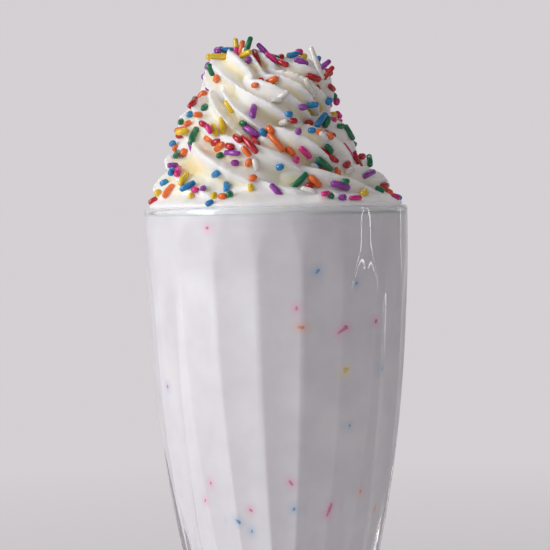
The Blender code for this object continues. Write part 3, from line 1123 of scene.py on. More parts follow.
@dataclass(frozen=True)
class PipedCream:
    """The cream: a ridged rope piped in three turns round a heart, settled on the glass's mouth.

    The curves are rows of turns along the rope and millimetres, the heart is rows of radius and height
    above the rim in millimetres, and the lumps are rows of waves per metre and height.
    """

    glass: SodaGlass
    level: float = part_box("milkshake")[1][2]
    turns: float = 3.35
    end_angle: float = math.radians(323)
    steps_per_turn: int = 150
    tangent_step: float = 0.01
    coil_radius: Keys = ((0, 24), (0.45, 23), (0.95, 24), (1.45, 14.5), (1.95, 14.4), (2.45, 9.5),
                         (2.95, 9.4), (3.1, 8), (3.35, 2.5))
    coil_height: Keys = ((0, -1), (0.45, 2.6), (0.95, 6), (1.45, 17), (1.95, 21.5), (2.45, 34.5),
                         (2.95, 37.5), (3.1, 39.5), (3.35, 42))
    radius_sway: Sway = Sway(0.6, 2.1, 1)
    height_sway: Sway = Sway(0.5, 1.7, 2)
    rope_radius: Keys = ((0, 12.5), (0.45, 13), (0.95, 13.8), (1.45, 13.2), (1.95, 13.8), (2.45, 12),
                         (2.95, 11.4), (3.1, 9.8), (3.35, 4.5))
    lean: Keys = ((0, 0), (0.8, 0.2), (1.6, -2.6), (3.35, -2.2))
    heart: Keys = ((39.3, -4), (39.3, 1), (36, 3), (26, 8), (20, 16), (12, 30), (9, 40), (4, 45))
    heart_steps: int = 96
    ridges: int = 6
    ridge_steps: int = 20
    ridge_twist: Keys = ((0, 0), (0.6, 0.8), (1.2, 1.8), (2.0, 4.0), (2.6, 5.9), (3.35, 8.0))
    ridge_shift: float = 0.16
    ridge_sway: Sway = Sway(0.1, 2.9)
    valley: float = 0.37
    valley_range: tuple[float, float] = (0.8, 1.2)
    valley_sway: Sway = Sway(0.25, 1.9, 3)
    crest_rounding: float = 0.07
    seed: int = 4
    voxel: float = 0.62 * MM
    softening: int = 2
    lumps: Keys = ((230, 0.26 * MM), (620, 0.10 * MM))
    into_drink: float = 0.1 * MM
    lip_gap: float = 0.3 * MM
    lip_reach: float = 2 * MM
    finish: CreamFinish = CreamFinish()

    def rope_place(self, turns: float) -> tuple[float, Vector]:
        """Find where the rope is after some turns.

        Args:
            turns: Where along the rope.

        Returns:
            The rope's angle, and its centre in mm from the rim's centre.
        """
        angle = self.end_angle - (self.turns - turns) * FULL_TURN
        radius = eased(self.coil_radius, turns) + self.radius_sway.at(angle)
        height = eased(self.coil_height, turns) + self.height_sway.at(angle)
        x = eased(self.lean, turns) + radius * math.cos(angle)
        return angle, Vector((x, radius * math.sin(angle), height))

    def rope_ring(self, turns: float, heights: Sequence[float], shifts: Sequence[float]) -> list[Vector]:
        """List one section of the rope: ridges with hollow valleys between them.

        Args:
            turns: Where along the rope.
            heights: How deep the valleys beside each ridge are.
            shifts: How far each ridge is off its even place.

        Returns:
            The section's points, in mm.
        """
        angle, centre = self.rope_place(turns)
        ahead = self.rope_place(min(turns + self.tangent_step, self.turns))[1]
        behind = self.rope_place(max(turns - self.tangent_step, 0))[1]
        along = (ahead - behind).normalized()
        outward = Vector((math.cos(angle), math.sin(angle), 0))
        outward = (outward - along * outward.dot(along)).normalized()
        upward = outward.cross(along)
        upward = upward if upward.z > 0 else -upward
        rope = eased(self.rope_radius, turns)
        twist = eased(self.ridge_twist, turns)
        ring = []
        for ridge in range(self.ridges):
            following = (ridge + 1) % self.ridges
            for step in range(self.ridge_steps):
                across = step / self.ridge_steps
                place = ridge + across + shifts[ridge] * (1 - across) + shifts[following] * across
                turn = FULL_TURN * (place / self.ridges - twist) + self.ridge_sway.at(angle, ridge)
                off_crest = 2 * min(across, 1 - across)
                fall = math.hypot(off_crest, self.crest_rounding) - self.crest_rounding
                fall /= math.hypot(1, self.crest_rounding) - self.crest_rounding
                depth = self.valley * (heights[ridge] * (1 - across) + heights[following] * across)
                depth *= 1 + self.valley_sway.at(angle, ridge)
                radius = rope * (1 - depth * (2 * fall - fall * fall))
                ring.append(centre + (outward * math.cos(turn) + upward * math.sin(turn)) * radius)
        return ring

    def rope(self) -> bpy.types.Object:
        """Loft the rope through its sections, with each point's depth below its ridges.

        Returns:
            The rope, closed at both ends.
        """
        draw = random.Random(self.seed)
        heights = [draw.uniform(*self.valley_range) for _ in range(self.ridges)]
        shifts = [draw.uniform(-self.ridge_shift, self.ridge_shift) for _ in range(self.ridges)]
        count = round(self.turns * self.steps_per_turn)
        rim = Vector((0, 0, self.glass.height))
        form = bmesh.new()
        # Each point's depth below its ridges is stored for the cream's painted warm shade in its valleys.
        hollow = form.verts.layers.float.new(self.finish.shade_depth_attribute)
        rows = []
        for step in range(count + 1):
            turns = self.turns * step / count
            middle = self.rope_place(turns)[1]
            row = []
            for point in self.rope_ring(turns, heights, shifts):
                vertex = form.verts.new(point * MM + rim)
                fall = 1 - (point - middle).length / eased(self.rope_radius, turns)
                vertex[hollow] = min(max(fall / self.valley, 0), 1)
                row.append(vertex)
            rows.append(row)
        for row, following in zip(rows, rows[1:]):
            for place in range(len(row)):
                beside = (place + 1) % len(row)
                form.faces.new((row[place], row[beside], following[beside], following[place]))
        form.faces.new(rows[0])
        form.faces.new(reversed(rows[-1]))
        bmesh.ops.recalc_face_normals(form, faces=form.faces)
        return object_of("cream_rope", form)

    def heart_solid(self) -> bpy.types.Object:
        """Turn the heart that the rope winds round, with its skirt over the rim.

        Returns:
            The heart, a closed solid.
        """
        rim = self.glass.height
        rings = [Ring(radius * MM, rim + height * MM) for radius, height in reversed(self.heart)]
        rings = [Ring(0, rings[0].height)] + rings + [Ring(0, rings[-1].height)]
        return turned_blank("cream_heart", rings, self.heart_steps, 0)

    def skin(self) -> tuple[bpy.types.Object, Relief]:
        """Melt rope and heart into one skin that still follows their true surfaces.

        Returns:
            The cream before it is cut and pressed to the glass, and the rope's relief.
        """
        rope = self.rope()
        heart = self.heart_solid()
        form = bmesh.new()
        form.from_mesh(rope.data)
        form.from_mesh(heart.data)
        form.to_mesh(rope.data)
        form.free()
        relief = Relief(rope.data, self.finish.shade_depth_attribute)
        bpy.data.objects.remove(heart)
        cream = link_object("piped_cream", rope.data.copy())
        remesh = cream.modifiers.new("one_skin", "REMESH")
        remesh.mode = "VOXEL"
        remesh.voxel_size = self.voxel
        wrap = cream.modifiers.new("true_surface", "SHRINKWRAP")
        wrap.target = rope
        wrap.wrap_method = "NEAREST_SURFACEPOINT"
        soften = cream.modifiers.new("soften", "SMOOTH")
        soften.iterations = self.softening
        bake(cream)
        bpy.data.objects.remove(rope)
        return cream, relief

    def roughen(self, cream: bpy.types.Object) -> None:
        """Give the skin the small lumps of whipped cream.

        Args:
            cream: The skin.
        """
        mesh = cream.data
        directions = [vertex.normal.copy() for vertex in mesh.vertices]
        for vertex, direction in zip(mesh.vertices, directions):
            swell = sum(height * noise.noise(vertex.co * rate) for rate, height in self.lumps)
            vertex.co += direction * swell

    def settle(self, cream: bpy.types.Object) -> None:
        """Cut the cream off at the drink's level and keep it just off the glass's lip.

        Args:
            cream: The skin.
        """
        form = bmesh.new()
        form.from_mesh(cream.data)
        everything = form.verts[:] + form.edges[:] + form.faces[:]
        base = Vector((0, 0, self.level - self.into_drink))
        bmesh.ops.bisect_plane(form, geom=everything, plane_co=base, plane_no=(0, 0, -1), clear_outer=True)
        rim = [edge for edge in form.edges if edge.is_boundary]
        bmesh.ops.holes_fill(form, edges=rim, sides=0)
        bmesh.ops.triangulate(form, faces=[face for face in form.faces if len(face.verts) > 4])
        lip_radius, lip_height = self.glass.lip_centre
        clear = self.glass.lip_radius + self.lip_gap
        for vertex in form.verts:
            reach = math.hypot(vertex.co.x, vertex.co.y)
            if vertex.co.z > self.glass.height + self.lip_reach or reach < lip_radius - 2 * clear:
                continue
            if vertex.co.z < lip_height:
                wanted = min(reach, lip_radius - clear)
                height = vertex.co.z
            else:
                off = Vector((reach - lip_radius, vertex.co.z - lip_height))
                off = off.normalized() * max(off.length, clear)
                wanted = lip_radius + off.x
                height = lip_height + off.y
            vertex.co.x *= wanted / reach
            vertex.co.y *= wanted / reach
            vertex.co.z = height
        form.to_mesh(cream.data)
        form.free()

    def mark_valley_shade(self, cream: bpy.types.Object, relief: Relief) -> None:
        """Store how hollow the surface is at each point, for the painted warm yellow shade in the valleys.

        Args:
            cream: The settled cream.
            relief: The rope's own relief.
        """
        values = [relief.at(vertex.co) for vertex in cream.data.vertices]
        name = self.finish.shade_depth_attribute
        if name in cream.data.attributes:
            cream.data.attributes.remove(cream.data.attributes[name])
        cream.data.attributes.new(name, "FLOAT", "POINT").data.foreach_set("value", values)

    def build(self) -> bpy.types.Object:
        """Build the cream and let it stand for its solid.

        Returns:
            The cream.
        """
        cream, relief = self.skin()
        self.roughen(cream)
        self.settle(cream)
        self.mark_valley_shade(cream, relief)
        shade_smooth(cream.data)
        cream.data.materials.clear()
        cream.data.materials.append(self.finish.material())
        wear(cream, Node.CREAM)
        return cream


def surface_of(item: bpy.types.Object) -> BVHTree:
    """Make an object's mesh searchable."""
    points = [vertex.co.copy() for vertex in item.data.vertices]
    return BVHTree.FromPolygons(points, [tuple(face.vertices) for face in item.data.polygons])


def bent(sight: Vector, normal: Vector, ior: float) -> Vector:
    """Bend a line of sight as it enters glass.

    Args:
        sight: Its direction in air.
        normal: The surface's direction, against it.
        ior: The glass's index of refraction.

    Returns:
        Its direction in the glass.
    """
    facing = -sight.dot(normal)
    inside = math.sqrt(1 - (1 - facing * facing) / (ior * ior))
    return (sight / ior + normal * (facing / ior - inside)).normalized()


@dataclass
class Rod:
    """One laid sprinkle: its middle, its direction, its half run, its radius, bend and colour."""

    centre: Vector
    axis: Vector
    half: float
    radius: float
    bend: Vector
    hue: Hue

    @property
    def ends(self) -> tuple[Vector, Vector]:
        """The middles of its two round ends."""
        return self.centre - self.axis * self.half, self.centre + self.axis * self.half

    def distance(self, other: Rod) -> float:
        """Measure the clear space between this rod and another.

        Args:
            other: The other rod.

        Returns:
            The space, negative where they overlap.
        """
        reach = self.half + other.half + self.radius + other.radius
        if (self.centre - other.centre).length > reach:
            return reach
        shares = (-1, -0.5, 0, 0.5, 1)
        ones = [self.centre + self.axis * self.half * share for share in shares]
        others = [other.centre + other.axis * other.half * share for share in shares]
        nearest = min((one - another).length for one in ones for another in others)
        return nearest - self.radius - other.radius


@dataclass(frozen=True)
class Seen:
    """A sprinkle that the photo shows: its middle in pixels, its lean in degrees and its length in mm."""

    x: float
    y: float
    lean: float
    length: float


Row = tuple[float, float, float, float]


@dataclass(frozen=True)
class RodSet:
    """Rods of one kind made real by a Geometry Nodes tree, one piece for each colour."""

    sides: int = 10
    rings: int = 6
    end_sharpness: float = 50.0

    def points(self, name: str, rods: Sequence[Rod]) -> bpy.types.Object:
        """Store rods as points that carry their turn, radius, run and bend.

        Args:
            name: The piece's name.
            rods: The rods.

        Returns:
            An object of bare points.
        """
        mesh = bpy.data.meshes.new(name)
        mesh.from_pydata([rod.centre for rod in rods], [], [])
        columns = (
            ("facing", "QUATERNION", "value", [rod.axis.to_track_quat("Z", "Y") for rod in rods]),
            ("rod_radius", "FLOAT", "value", [(rod.radius,) for rod in rods]),
            ("half_run", "FLOAT_VECTOR", "vector", [rod.axis * rod.half for rod in rods]),
            ("bend", "FLOAT_VECTOR", "vector", [rod.bend for rod in rods]),
        )
        for column, kind, part, values in columns:
            data = mesh.attributes.new(column, kind, "POINT").data
            data.foreach_set(part, [number for value in values for number in value])
        return link_object(name, mesh)

    def build(self, name: str, rods: Sequence[Rod], material: bpy.types.Material) -> bpy.types.Object:
        """Turn rods into one piece.

        Args:
            name: The piece's name.
            rods: The rods.
            material: Their finish.

        Returns:
            The piece, a plain mesh.
        """
        item = self.points(name, rods)
        tree = GeometryTree(f"{name}_rods", {"Sides": self.sides, "Rings": self.rings}, material)
        ball_links = {"Segments": tree.inputs["Sides"], "Rings": tree.inputs["Rings"], "Radius": 1.0}
        ball = tree.add("GeometryNodeMeshUVSphere", ball_links).outputs["Mesh"]
        position = tree.add("GeometryNodeInputPosition", {}).outputs[0]
        height = tree.add("ShaderNodeSeparateXYZ", {0: position}).outputs["Z"]
        steep = tree.math("MULTIPLY", height, self.end_sharpness)
        end = tree.math("MAXIMUM", tree.math("MINIMUM", steep, 1.0), -1.0)
        mark_links = {"Geometry": ball, "Name": "rod_end", "Value": end}
        marked = tree.add("GeometryNodeStoreNamedAttribute", mark_links)
        placed = tree.add("GeometryNodeInstanceOnPoints", {
            "Points": tree.inputs["Geometry"],
            "Instance": marked.outputs[0],
            "Rotation": tree.stored("facing", "QUATERNION"),
            "Scale": tree.stored("rod_radius"),
        })
        real = tree.add("GeometryNodeRealizeInstances", {"Geometry": placed.outputs[0]}).outputs[0]
        side = tree.stored("rod_end")
        run = tree.vector("SCALE", tree.stored("half_run", "FLOAT_VECTOR"), scale=side)
        belly = tree.math("SUBTRACT", 1.0, tree.math("ABSOLUTE", side))
        bow = tree.vector("SCALE", tree.stored("bend", "FLOAT_VECTOR"), scale=belly)
        offset = tree.vector("ADD", run, bow)
        shaped = tree.add("GeometryNodeSetPosition", {"Geometry": real, "Offset": offset})
        tree.finish(shaped.outputs[0])
        tree.apply(item)
        for leftover in ("facing", "rod_radius", "half_run", "bend", "rod_end"):
            if leftover in item.data.attributes:
                item.data.attributes.remove(item.data.attributes[leftover])
        return item


@dataclass
class Sprinkles:
    """The sprinkles on the cream: those that the photo shows, and others all round by one rule.

    Sinks, lifts, crowding and lip clearance are shares of a sprinkle's radius, and the bow is a share of
    its half run. A side band is a count and its lowest and highest place, in mm above the rim.
    """

    cream: bpy.types.Object
    glass: SodaGlass
    camera: PhotoCamera
    seed: int = 21
    radius: tuple[float, float] = (0.92 * MM, 1.15 * MM)
    length: tuple[float, float] = (3.6 * MM, 7.8 * MM)
    least_half: float = 0.2 * MM
    bow: float = 0.12
    sink: float = 0.48
    lifts: tuple[float, ...] = (0.0, 0.8, 1.7)
    seen_lifts: tuple[float, ...] = (0.0, 0.8)
    spacing: float = 0.25 * MM
    seen_crowding: float = 0.6
    lip_clearance: float = 0.8
    edge_on: float = 0.25
    limit: float = 42.2 * MM
    miss_reach: float = 5 * MM
    tip_gap: float = 1.1 * MM
    cover: float = 2 * MM
    ray_start: float = 0.12
    tries: int = 25
    top_count: int = 70
    top_radius: float = 19 * MM
    top_x: float = -3 * MM
    side_bands: tuple[tuple[int, float, float], ...] = ((26, 30, 44), (75, 12, 28), (60, 1.5, 10))
    rods: list[Rod] = field(default_factory=list)

    def __post_init__(self) -> None:
        """Make the cream searchable and start the seeded draws."""
        self.surface = surface_of(self.cream)
        self.draw = random.Random(self.seed)

    def lay(self, point: Vector, normal: Vector, axis: Vector, length: float, hue: Hue, must: bool) -> bool:
        """Lay one rod on the cream, over others where it has to be.

        Args:
            point: Where it lies on the surface.
            normal: The surface's direction there.
            axis: The rod's wanted direction.
            length: Its length from tip to tip.
            hue: Its colour.
            must: Whether it lies there even on top of others.

        Returns:
            Whether it was laid.
        """
        radius = self.draw.uniform(*self.radius)
        half = max(length / 2 - radius, self.least_half)
        axis = (axis - normal * axis.dot(normal)).normalized()
        tips = [self.surface.find_nearest(point + axis * half * side)[0] for side in (-1, 1)]
        gaps = [(tip - point - axis * half * side).length for tip, side in zip(tips, (-1, 1))]
        if not must and max(gaps) > self.tip_gap:
            return False
        chord = tips[1] - tips[0]
        if chord.length > half:
            axis = chord.normalized()
        middle = (tips[0] + tips[1]) / 2
        lift = max((middle - point).dot(normal), 0)
        bend = normal.cross(axis) * self.draw.uniform(-self.bow, self.bow) * half
        clearance = self.spacing - radius * (self.seen_crowding if must else 0)
        for rise in self.seen_lifts if must else self.lifts:
            centre = point + normal * (lift + radius * (self.sink + rise))
            rod = Rod(centre, axis, half, radius, bend, hue)
            if all(rod.distance(other) > clearance for other in self.rods):
                break
        else:
            if not must:
                return False
        if not self.clear_of_glass(rod) or not (must or all(map(self.hidden, (*rod.ends, rod.centre)))):
            return False
        self.rods.append(rod)
        return True

    def clear_of_glass(self, rod: Rod) -> bool:
        """Tell whether a rod keeps off the lip and near the rim's circle.

        Args:
            rod: The rod.

        Returns:
            Whether it does.
        """
        lip_radius, lip_height = self.glass.lip_centre
        clear = self.glass.lip_radius + rod.radius * self.lip_clearance
        for end in rod.ends:
            reach = math.hypot(end.x, end.y)
            from_lip = math.hypot(reach - lip_radius, end.z - lip_height)
            if reach + rod.radius > self.limit or from_lip < clear:
                return False
        return True

    def lay_seen(self, seen: Seen, hue: Hue) -> None:
        """Lay a sprinkle where the photo shows it.

        Args:
            seen: Its place in the photo.
            hue: Its colour.
        """
        point, normal, sight = self.touch(seen)
        if point is None:
            LOG.info("%s sprinkle at %.0f, %.0f misses the cream", hue.label, seen.x, seen.y)
            return
        wanted = self.camera.in_picture(seen.lean)
        facing = sight.dot(normal)
        if abs(facing) > self.edge_on:
            wanted = wanted - sight * (wanted.dot(normal) / facing)
        self.lay(point, normal, wanted, seen.length * MM, hue, must=True)

    def touch(self, seen: Seen) -> tuple[Vector | None, Vector | None, Vector]:
        """Find where the cream lies behind a place in the photo, or just beside it.

        Args:
            seen: The place.

        Returns:
            The point on the cream and the surface's direction, or None twice, and the line of sight.
        """
        origin, sight = self.camera.ray(seen.x, seen.y)
        point, normal, _, _ = self.surface.ray_cast(origin, sight)
        if point is None:
            beside = origin + sight * (self.camera.distance / abs(sight.y))
            point, normal, _, away = self.surface.find_nearest(beside)
            if away > self.miss_reach:
                return None, None, sight
        return point, normal, sight

    def stand(self, foot: Seen, hue: Hue) -> None:
        """Stand a sprinkle on its end.

        Args:
            foot: Where the photo shows its lower end, which way it points, and its length.
            hue: Its colour.
        """
        point = self.touch(foot)[0]
        if point is None:
            LOG.info("%s sprinkle on end at %.0f, %.0f misses the cream", hue.label, foot.x, foot.y)
            return
        axis = self.camera.in_picture(foot.lean)
        radius = self.radius[0]
        half = foot.length * MM / 2 - radius
        self.rods.append(Rod(point + axis * half, axis, half, radius, Vector(), hue))

    def lay_around(self, count: int, make_ray: Callable[[], tuple[Vector, Vector]]) -> None:
        """Lay a number of sprinkles by a rule, where the photo doesn't look.

        Args:
            count: How many.
            make_ray: Draws a place and a direction towards the cream.
        """
        hues = [hue for hue in Hue for _ in range(1 if hue is Hue.WHITE else 2)]
        left = count
        for _ in range(count * self.tries):
            if not left:
                return
            point, normal, _, _ = self.surface.ray_cast(*make_ray())
            if point is None or not self.hidden(point):
                continue
            spin = self.draw.uniform(0, FULL_TURN)
            across = normal.orthogonal().normalized()
            axis = across * math.cos(spin) + normal.cross(across) * math.sin(spin)
            length = self.draw.uniform(*self.length)
            if self.lay(point, normal, axis, length, self.draw.choice(hues), must=False):
                left -= 1

    def side_ray(self, low: float, high: float) -> tuple[Vector, Vector]:
        """Draw a level ray towards the axis.

        Args:
            low: Its least height above the rim, in mm.
            high: Its greatest height.

        Returns:
            The ray's start and direction.
        """
        angle = self.draw.uniform(0, FULL_TURN)
        outward = Vector((math.cos(angle), math.sin(angle), 0))
        height = self.glass.height + self.draw.uniform(low, high) * MM
        return outward * self.ray_start + Vector((0, 0, height)), -outward

    def top_ray(self) -> tuple[Vector, Vector]:
        """Draw a ray straight down onto the cream's top.

        Returns:
            The ray's start and direction.
        """
        angle = self.draw.uniform(0, FULL_TURN)
        radius = self.top_radius * math.sqrt(self.draw.random())
        x = self.top_x + radius * math.cos(angle)
        y = radius * math.sin(angle)
        return Vector((x, y, self.glass.height + self.ray_start)), Vector((0, 0, -1))

    def hidden(self, point: Vector) -> bool:
        """Tell whether the cream hides a place from the photo.

        Args:
            point: The place.

        Returns:
            Whether the cream lies well in front of it.
        """
        origin = self.camera.place
        hit, _, _, _ = self.surface.ray_cast(origin, (point - origin).normalized())
        behind = hit is not None and (point - hit).dot(point - origin) > 0
        return behind and (hit - point).length > self.cover

    def build(self) -> list[bpy.types.Object]:
        """Lay all sprinkles and build one piece for each colour.

        Returns:
            The pieces.
        """
        for hue, places in FRONT_SPRINKLES.items():
            for row in places:
                self.lay_seen(Seen(*row), hue)
        for hue, row in STANDING_SPRINKLES:
            self.stand(Seen(*row), hue)
        LOG.info("%d sprinkles laid as the photo shows them", len(self.rods))
        self.lay_around(self.top_count, self.top_ray)
        for count, low, high in self.side_bands:
            self.lay_around(count, lambda: self.side_ray(low, high))
        LOG.info("%d sprinkles laid in all", len(self.rods))
        pieces = []
        for hue in Hue:
            rods = [rod for rod in self.rods if rod.hue is hue]
            finish = SprinkleFinish(f"{hue.label}_sprinkle", linear(*hue.value))
            piece = RodSet().build(f"sprinkles_{hue.label}", rods, finish.material())
            wear(piece, Node.CREAM)
            pieces.append(piece)
        return pieces


STANDING_SPRINKLES: tuple[tuple[Hue, Row], ...] = (
    (Hue.WHITE, (322, 77, 111, 11.0)),
    (Hue.YELLOW, (237, 52, 98, 5.4)),
    (Hue.ORANGE, (241, 51, 80, 4.4)),
    (Hue.GREEN, (246, 52, 72, 6.0)),
    (Hue.PURPLE, (268, 55, 133, 5.8)),
    (Hue.BLUE, (316, 65, 66, 4.2)),
    (Hue.PURPLE, (320, 69, 40, 5.2)),
    (Hue.RED, (325, 77, 52, 5.2)),
)

FRONT_SPRINKLES: dict[Hue, tuple[Row, ...]] = {
    Hue.RED: (
        (258, 60, -80, 8.0), (279, 53, 85, 3.5), (283, 64, -30, 4.4), (313, 77, -18, 5.0),
        (328, 73, 35, 4.5), (331, 87, -45, 3.5), (193, 104, 50, 5.2), (175, 128, 10, 3.2),
        (203, 125, -30, 3.0), (217, 142, 20, 4.0), (250, 145, -60, 8.0), (256, 143, -60, 7.0),
        (239, 141, -40, 4.0), (231, 146, -15, 3.5), (293, 120, 0, 2.6), (309, 123, 0, 3.0),
        (328, 155, -40, 7.8), (346, 165, 35, 3.2), (355, 157, -60, 8.0), (369, 152, 5, 3.2),
        (309, 187, 0, 2.6), (383, 185, 10, 4.5), (154, 201, 45, 3.8),
    ),
    Hue.ORANGE: (
        (218, 78, 58, 3.6), (256, 85, 10, 2.8), (273, 80, 25, 4.6), (200, 94, 46, 4.0),
        (198, 116, 0, 3.0), (188, 125, 30, 2.8), (182, 131, 20, 4.5), (209, 138, -20, 3.5),
        (221, 147, 38, 5.2), (249, 163, 60, 2.8), (271, 130, -50, 3.4), (277, 143, -48, 7.8),
        (290, 152, -40, 3.8), (247, 151, -50, 4.0), (320, 132, -30, 3.0), (330, 136, -40, 2.6),
        (323, 169, -20, 4.0), (337, 173, -60, 3.6), (315, 181, -45, 5.0), (388, 193, -20, 3.0),
        (253, 178, 20, 2.6), (169, 192, 55, 5.8), (223, 198, 0, 2.6), (185, 153, 70, 2.8),
        (176, 148, 60, 2.6),
    ),
    Hue.YELLOW: (
        (218, 58, -8, 8.4), (247, 54, 36, 5.2), (304, 56, 40, 3.0), (184, 134, 15, 4.6),
        (214, 131, -70, 4.5), (224, 125, 82, 6.2), (230, 106, -60, 4.4), (333, 115, 10, 3.5),
        (364, 194, 20, 4.0), (252, 187, -62, 4.2), (184, 180, 58, 6.0), (192, 197, 50, 2.8),
        (214, 197, 60, 2.6), (159, 194, 50, 2.6),
    ),
    Hue.GREEN: (
        (212, 69, 62, 4.3), (229, 49, 0, 3.0), (290, 56, 0, 4.0), (336, 93, -40, 2.8),
        (205, 109, 62, 3.2), (181, 123, 60, 2.6), (194, 137, 68, 7.0), (220, 157, 20, 2.6),
        (244, 122, -20, 2.6), (326, 122, 65, 4.2), (340, 126, 20, 3.0), (348, 133, -75, 5.8),
        (329, 148, -50, 3.8), (325, 161, -42, 6.8), (360, 144, -12, 4.3), (368, 161, 30, 5.2),
        (299, 181, 48, 7.0), (345, 181, 0, 2.6), (330, 197, -40, 2.6), (379, 191, 0, 3.2),
        (230, 196, 40, 2.6), (176, 156, 50, 6.4), (165, 169, 60, 2.6),
    ),
    Hue.BLUE: (
        (225, 45, -10, 4.5), (208, 51, 15, 3.0), (291, 51, 0, 4.2), (319, 60, -60, 2.6),
        (190, 116, 60, 2.6), (174, 142, 60, 2.6), (264, 131, -30, 3.0), (280, 166, 20, 2.6),
        (288, 115, 0, 2.6), (313, 104, 6, 4.2), (320, 121, 52, 6.0), (312, 130, 0, 2.6),
        (328, 101, 60, 2.6), (316, 163, -20, 2.6), (406, 199, -40, 2.6), (400, 194, -30, 2.6),
        (217, 173, 36, 4.2), (227, 188, 78, 5.2), (172, 173, 55, 3.5), (165, 184, 10, 3.0),
        (188, 187, 35, 5.4), (210, 204, 30, 2.8),
    ),
    Hue.PURPLE: (
        (208, 62, 60, 2.6), (217, 46, -50, 3.0), (219, 51, 10, 3.5), (249, 61, 60, 2.8),
        (301, 62, -25, 4.8), (235, 152, -6, 6.0), (235, 164, 0, 2.6), (253, 113, 75, 6.0),
        (254, 129, -28, 6.0), (298, 133, 60, 2.6), (303, 106, 10, 2.8), (368, 174, 28, 5.8),
        (277, 190, -58, 5.4), (340, 185, -15, 6.3), (342, 199, 0, 2.6), (203, 190, 60, 2.8),
        (173, 167, 2, 3.6),
    ),
    Hue.PINK: (
        (237, 52, -45, 3.4), (272, 58, -35, 5.0), (299, 53, 0, 2.6), (208, 131, -60, 3.6),
        (295, 161, 80, 3.2), (305, 152, -45, 5.2), (335, 102, 30, 2.6), (332, 120, 0, 2.6),
        (343, 115, -30, 3.0), (325, 197, 10, 3.0), (355, 199, 5, 4.6), (395, 198, -20, 3.0),
        (178, 173, 68, 5.4), (196, 190, -10, 2.8),
    ),
    Hue.WHITE: (
        (272, 50, 12, 4.0), (310, 87, -66, 7.0), (282, 96, 40, 6.0), (277, 100, 0, 3.5),
        (284, 121, 15, 3.8), (298, 124, 0, 2.6), (323, 135, -45, 3.5), (374, 147, 0, 3.0),
        (311, 167, 0, 3.6), (349, 171, 30, 4.5), (308, 192, -20, 5.0), (256, 164, -75, 4.0),
    ),
}


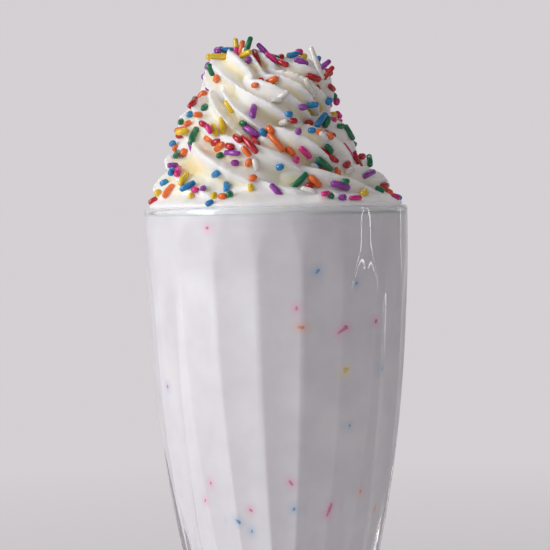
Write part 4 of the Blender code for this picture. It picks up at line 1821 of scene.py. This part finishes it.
@dataclass(frozen=True)
class Milkshake:
    """The drink: it fills the glass just into the wall, with coloured specks at its surface."""

    glass: SodaGlass
    camera: PhotoCamera
    level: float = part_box("milkshake")[1][2]
    into_wall: float = 0.12 * MM
    creep: float = 0.6 * MM
    creep_reach: float = 1.8 * MM
    creep_steps: int = 6
    rows: int = 142
    speck_radius: float = 0.75 * MM
    speck_bared: float = 0.18 * MM
    least_half: float = 0.05 * MM
    speck_paleness: float = 0.24
    speck_gloss: float = 0.4
    hidden_specks: int = 34
    hidden_hues: tuple[Hue, ...] = (Hue.PINK, Hue.PINK, Hue.BLUE, Hue.ORANGE, Hue.PURPLE, Hue.YELLOW)
    hidden_angles: tuple[float, float] = (math.radians(5), math.radians(175))
    hidden_lengths: tuple[float, float] = (1.5, 4.5)
    lowest_speck: float = 50 * MM
    highest_gap: float = 8 * MM
    ray_start: float = 0.1
    bleed_reach: float = 3.0 * MM
    bleed_strength: float = 0.5
    bleed_paleness: float = 0.45
    seed: int = 8
    finish: DrinkFinish = DrinkFinish()

    def body(self) -> bpy.types.Object:
        """Turn the drink's body, which creeps up the wall a little, with the inner wall's flutes.

        Returns:
            The body.
        """
        wall = self.glass.cavity(self.glass.height - self.level - self.creep, self.rows, self.into_wall)
        shares = [step / self.creep_steps for step in range(self.creep_steps)]
        edge = wall[-1].radius
        top = [Ring(edge - self.creep_reach * (1 - share), self.level + self.creep * share ** 2)
               for share in shares]
        rings = [Ring(0, self.level)] + top + list(reversed(wall))
        item = turned_blank("milkshake_body", rings, self.glass.steps, self.glass.flutes.turn)
        self.glass.flutes.cut(item, self.glass.height, self.finish.material())
        return item

    def specks(self, body: bpy.types.Object, bowl: bpy.types.Object) -> list[Rod]:
        """Place the specks, just bared at the drink's surface.

        Args:
            body: The drink's body.
            bowl: The glass round it, which bends the camera's sight.

        Returns:
            The specks.
        """
        surface = surface_of(body)
        outside = surface_of(bowl)
        draw = random.Random(self.seed)
        rods = []
        for hue, places in SUNK_SPECKS.items():
            for row in places:
                seen = Seen(*row)
                origin, sight = self.camera.ray(seen.x, seen.y)
                entry, _, _, _ = outside.ray_cast(origin, sight)
                if entry is None:
                    continue
                outward = Vector((entry.x, entry.y, 0)).normalized()
                point, normal, _, _ = surface.ray_cast(entry, bent(sight, outward, self.glass.finish.ior))
                if point is not None:
                    axis = self.camera.in_picture(seen.lean)
                    rods.append(self.speck(point, normal, axis, seen.length * MM, hue))
        for _ in range(self.hidden_specks):
            angle = draw.uniform(*self.hidden_angles)
            height = draw.uniform(self.lowest_speck, self.level - self.highest_gap)
            outward = Vector((math.cos(angle), math.sin(angle), 0))
            start = outward * self.ray_start + Vector((0, 0, height))
            point, normal, _, _ = surface.ray_cast(start, -outward)
            spin = draw.uniform(0, math.pi)
            axis = outward.cross(Vector((0, 0, 1))) * math.cos(spin) + Vector((0, 0, math.sin(spin)))
            hue = draw.choice(self.hidden_hues)
            rods.append(self.speck(point, normal, axis, draw.uniform(*self.hidden_lengths) * MM, hue))
        return rods

    def speck(self, point: Vector, normal: Vector, axis: Vector, length: float, hue: Hue) -> Rod:
        """Sink one speck so that only its back shows.

        Args:
            point: Where it lies on the drink's surface.
            normal: The surface's direction there.
            axis: Its wanted direction.
            length: Its length from tip to tip.
            hue: Its colour.

        Returns:
            The speck.
        """
        axis = (axis - normal * axis.dot(normal)).normalized()
        centre = point - normal * (self.speck_radius - self.speck_bared)
        half = max(length / 2 - self.speck_radius, self.least_half)
        return Rod(centre, axis, half, self.speck_radius, Vector(), hue)

    def bleed(self, body: bpy.types.Object, rods: Iterable[Rod]) -> None:
        """Store the dye that bleeds from the specks into the drink round them.

        Args:
            body: The drink's body.
            rods: The specks.
        """
        mesh = body.data
        dye = mesh.attributes.new(self.finish.dye_attribute, "FLOAT_COLOR", "POINT")
        for value in dye.data:
            value.color = (1, 1, 1, 0)
        reach = self.bleed_reach
        for rod in rods:
            colour = paler(linear(*rod.hue.value), self.bleed_paleness)
            for index, vertex in enumerate(mesh.vertices):
                if abs(vertex.co.z - rod.centre.z) > reach + rod.half:
                    continue
                along = max(-rod.half, min(rod.half, (vertex.co - rod.centre).dot(rod.axis)))
                away = (vertex.co - rod.centre - rod.axis * along).length - self.speck_radius
                if away < reach:
                    share = self.bleed_strength * max(0, 1 - away / reach) ** 2
                    if share > dye.data[index].color[3]:
                        dye.data[index].color = (*colour, share)

    def build(self, bowl: bpy.types.Object) -> list[bpy.types.Object]:
        """Build the drink and its specks.

        Args:
            bowl: The glass round the drink.

        Returns:
            The pieces.
        """
        body = self.body()
        rods = self.specks(body, bowl)
        self.bleed(body, rods)
        wear(body, Node.DRINK)
        pieces = [body]
        for hue in Hue:
            own = [rod for rod in rods if rod.hue is hue]
            if own:
                colour = paler(linear(*hue.value), self.speck_paleness)
                finish = SprinkleFinish(f"{hue.label}_speck", colour, self.speck_gloss)
                piece = RodSet().build(f"specks_{hue.label}", own, finish.material())
                wear(piece, Node.DRINK)
                pieces.append(piece)
        return pieces


SUNK_SPECKS: dict[Hue, tuple[Row, ...]] = {
    Hue.BLUE: (
        (317, 271, 40, 2.4), (356, 283, 80, 1.6), (296, 508, 70, 1.8), (235, 520, -35, 2.4),
        (253, 530, 80, 1.6), (348, 425, 20, 1.6), (381, 368, 80, 1.6),
    ),
    Hue.PINK: (
        (297, 308, 80, 1.8), (343, 330, 35, 3.8), (377, 321, 80, 1.8), (292, 482, -50, 2.6),
        (331, 509, 72, 4.8), (211, 482, 80, 1.6), (203, 499, 30, 2.0), (252, 509, -20, 2.0),
        (207, 228, 10, 1.6),
    ),
    Hue.ORANGE: ((301, 327, -20, 2.2), (363, 490, 70, 1.8), (376, 507, 75, 3.4)),
    Hue.YELLOW: ((346, 370, 80, 2.2),),
    Hue.PURPLE: ((166, 386, 60, 1.6),),
}


def main() -> None:
    """Build the pieces in order and light them."""
    logging.basicConfig(level=logging.INFO, format="%(name)s: %(message)s", force=True)
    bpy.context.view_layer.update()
    camera = PhotoCamera()
    camera.build()
    Studio().build()
    glass = SodaGlass()
    bowl = glass.build()
    Milkshake(glass, camera).build(bowl)
    cream = PipedCream(glass).build()
    Sprinkles(cream, glass, camera).build()


if __name__ == "__main__":
    main()
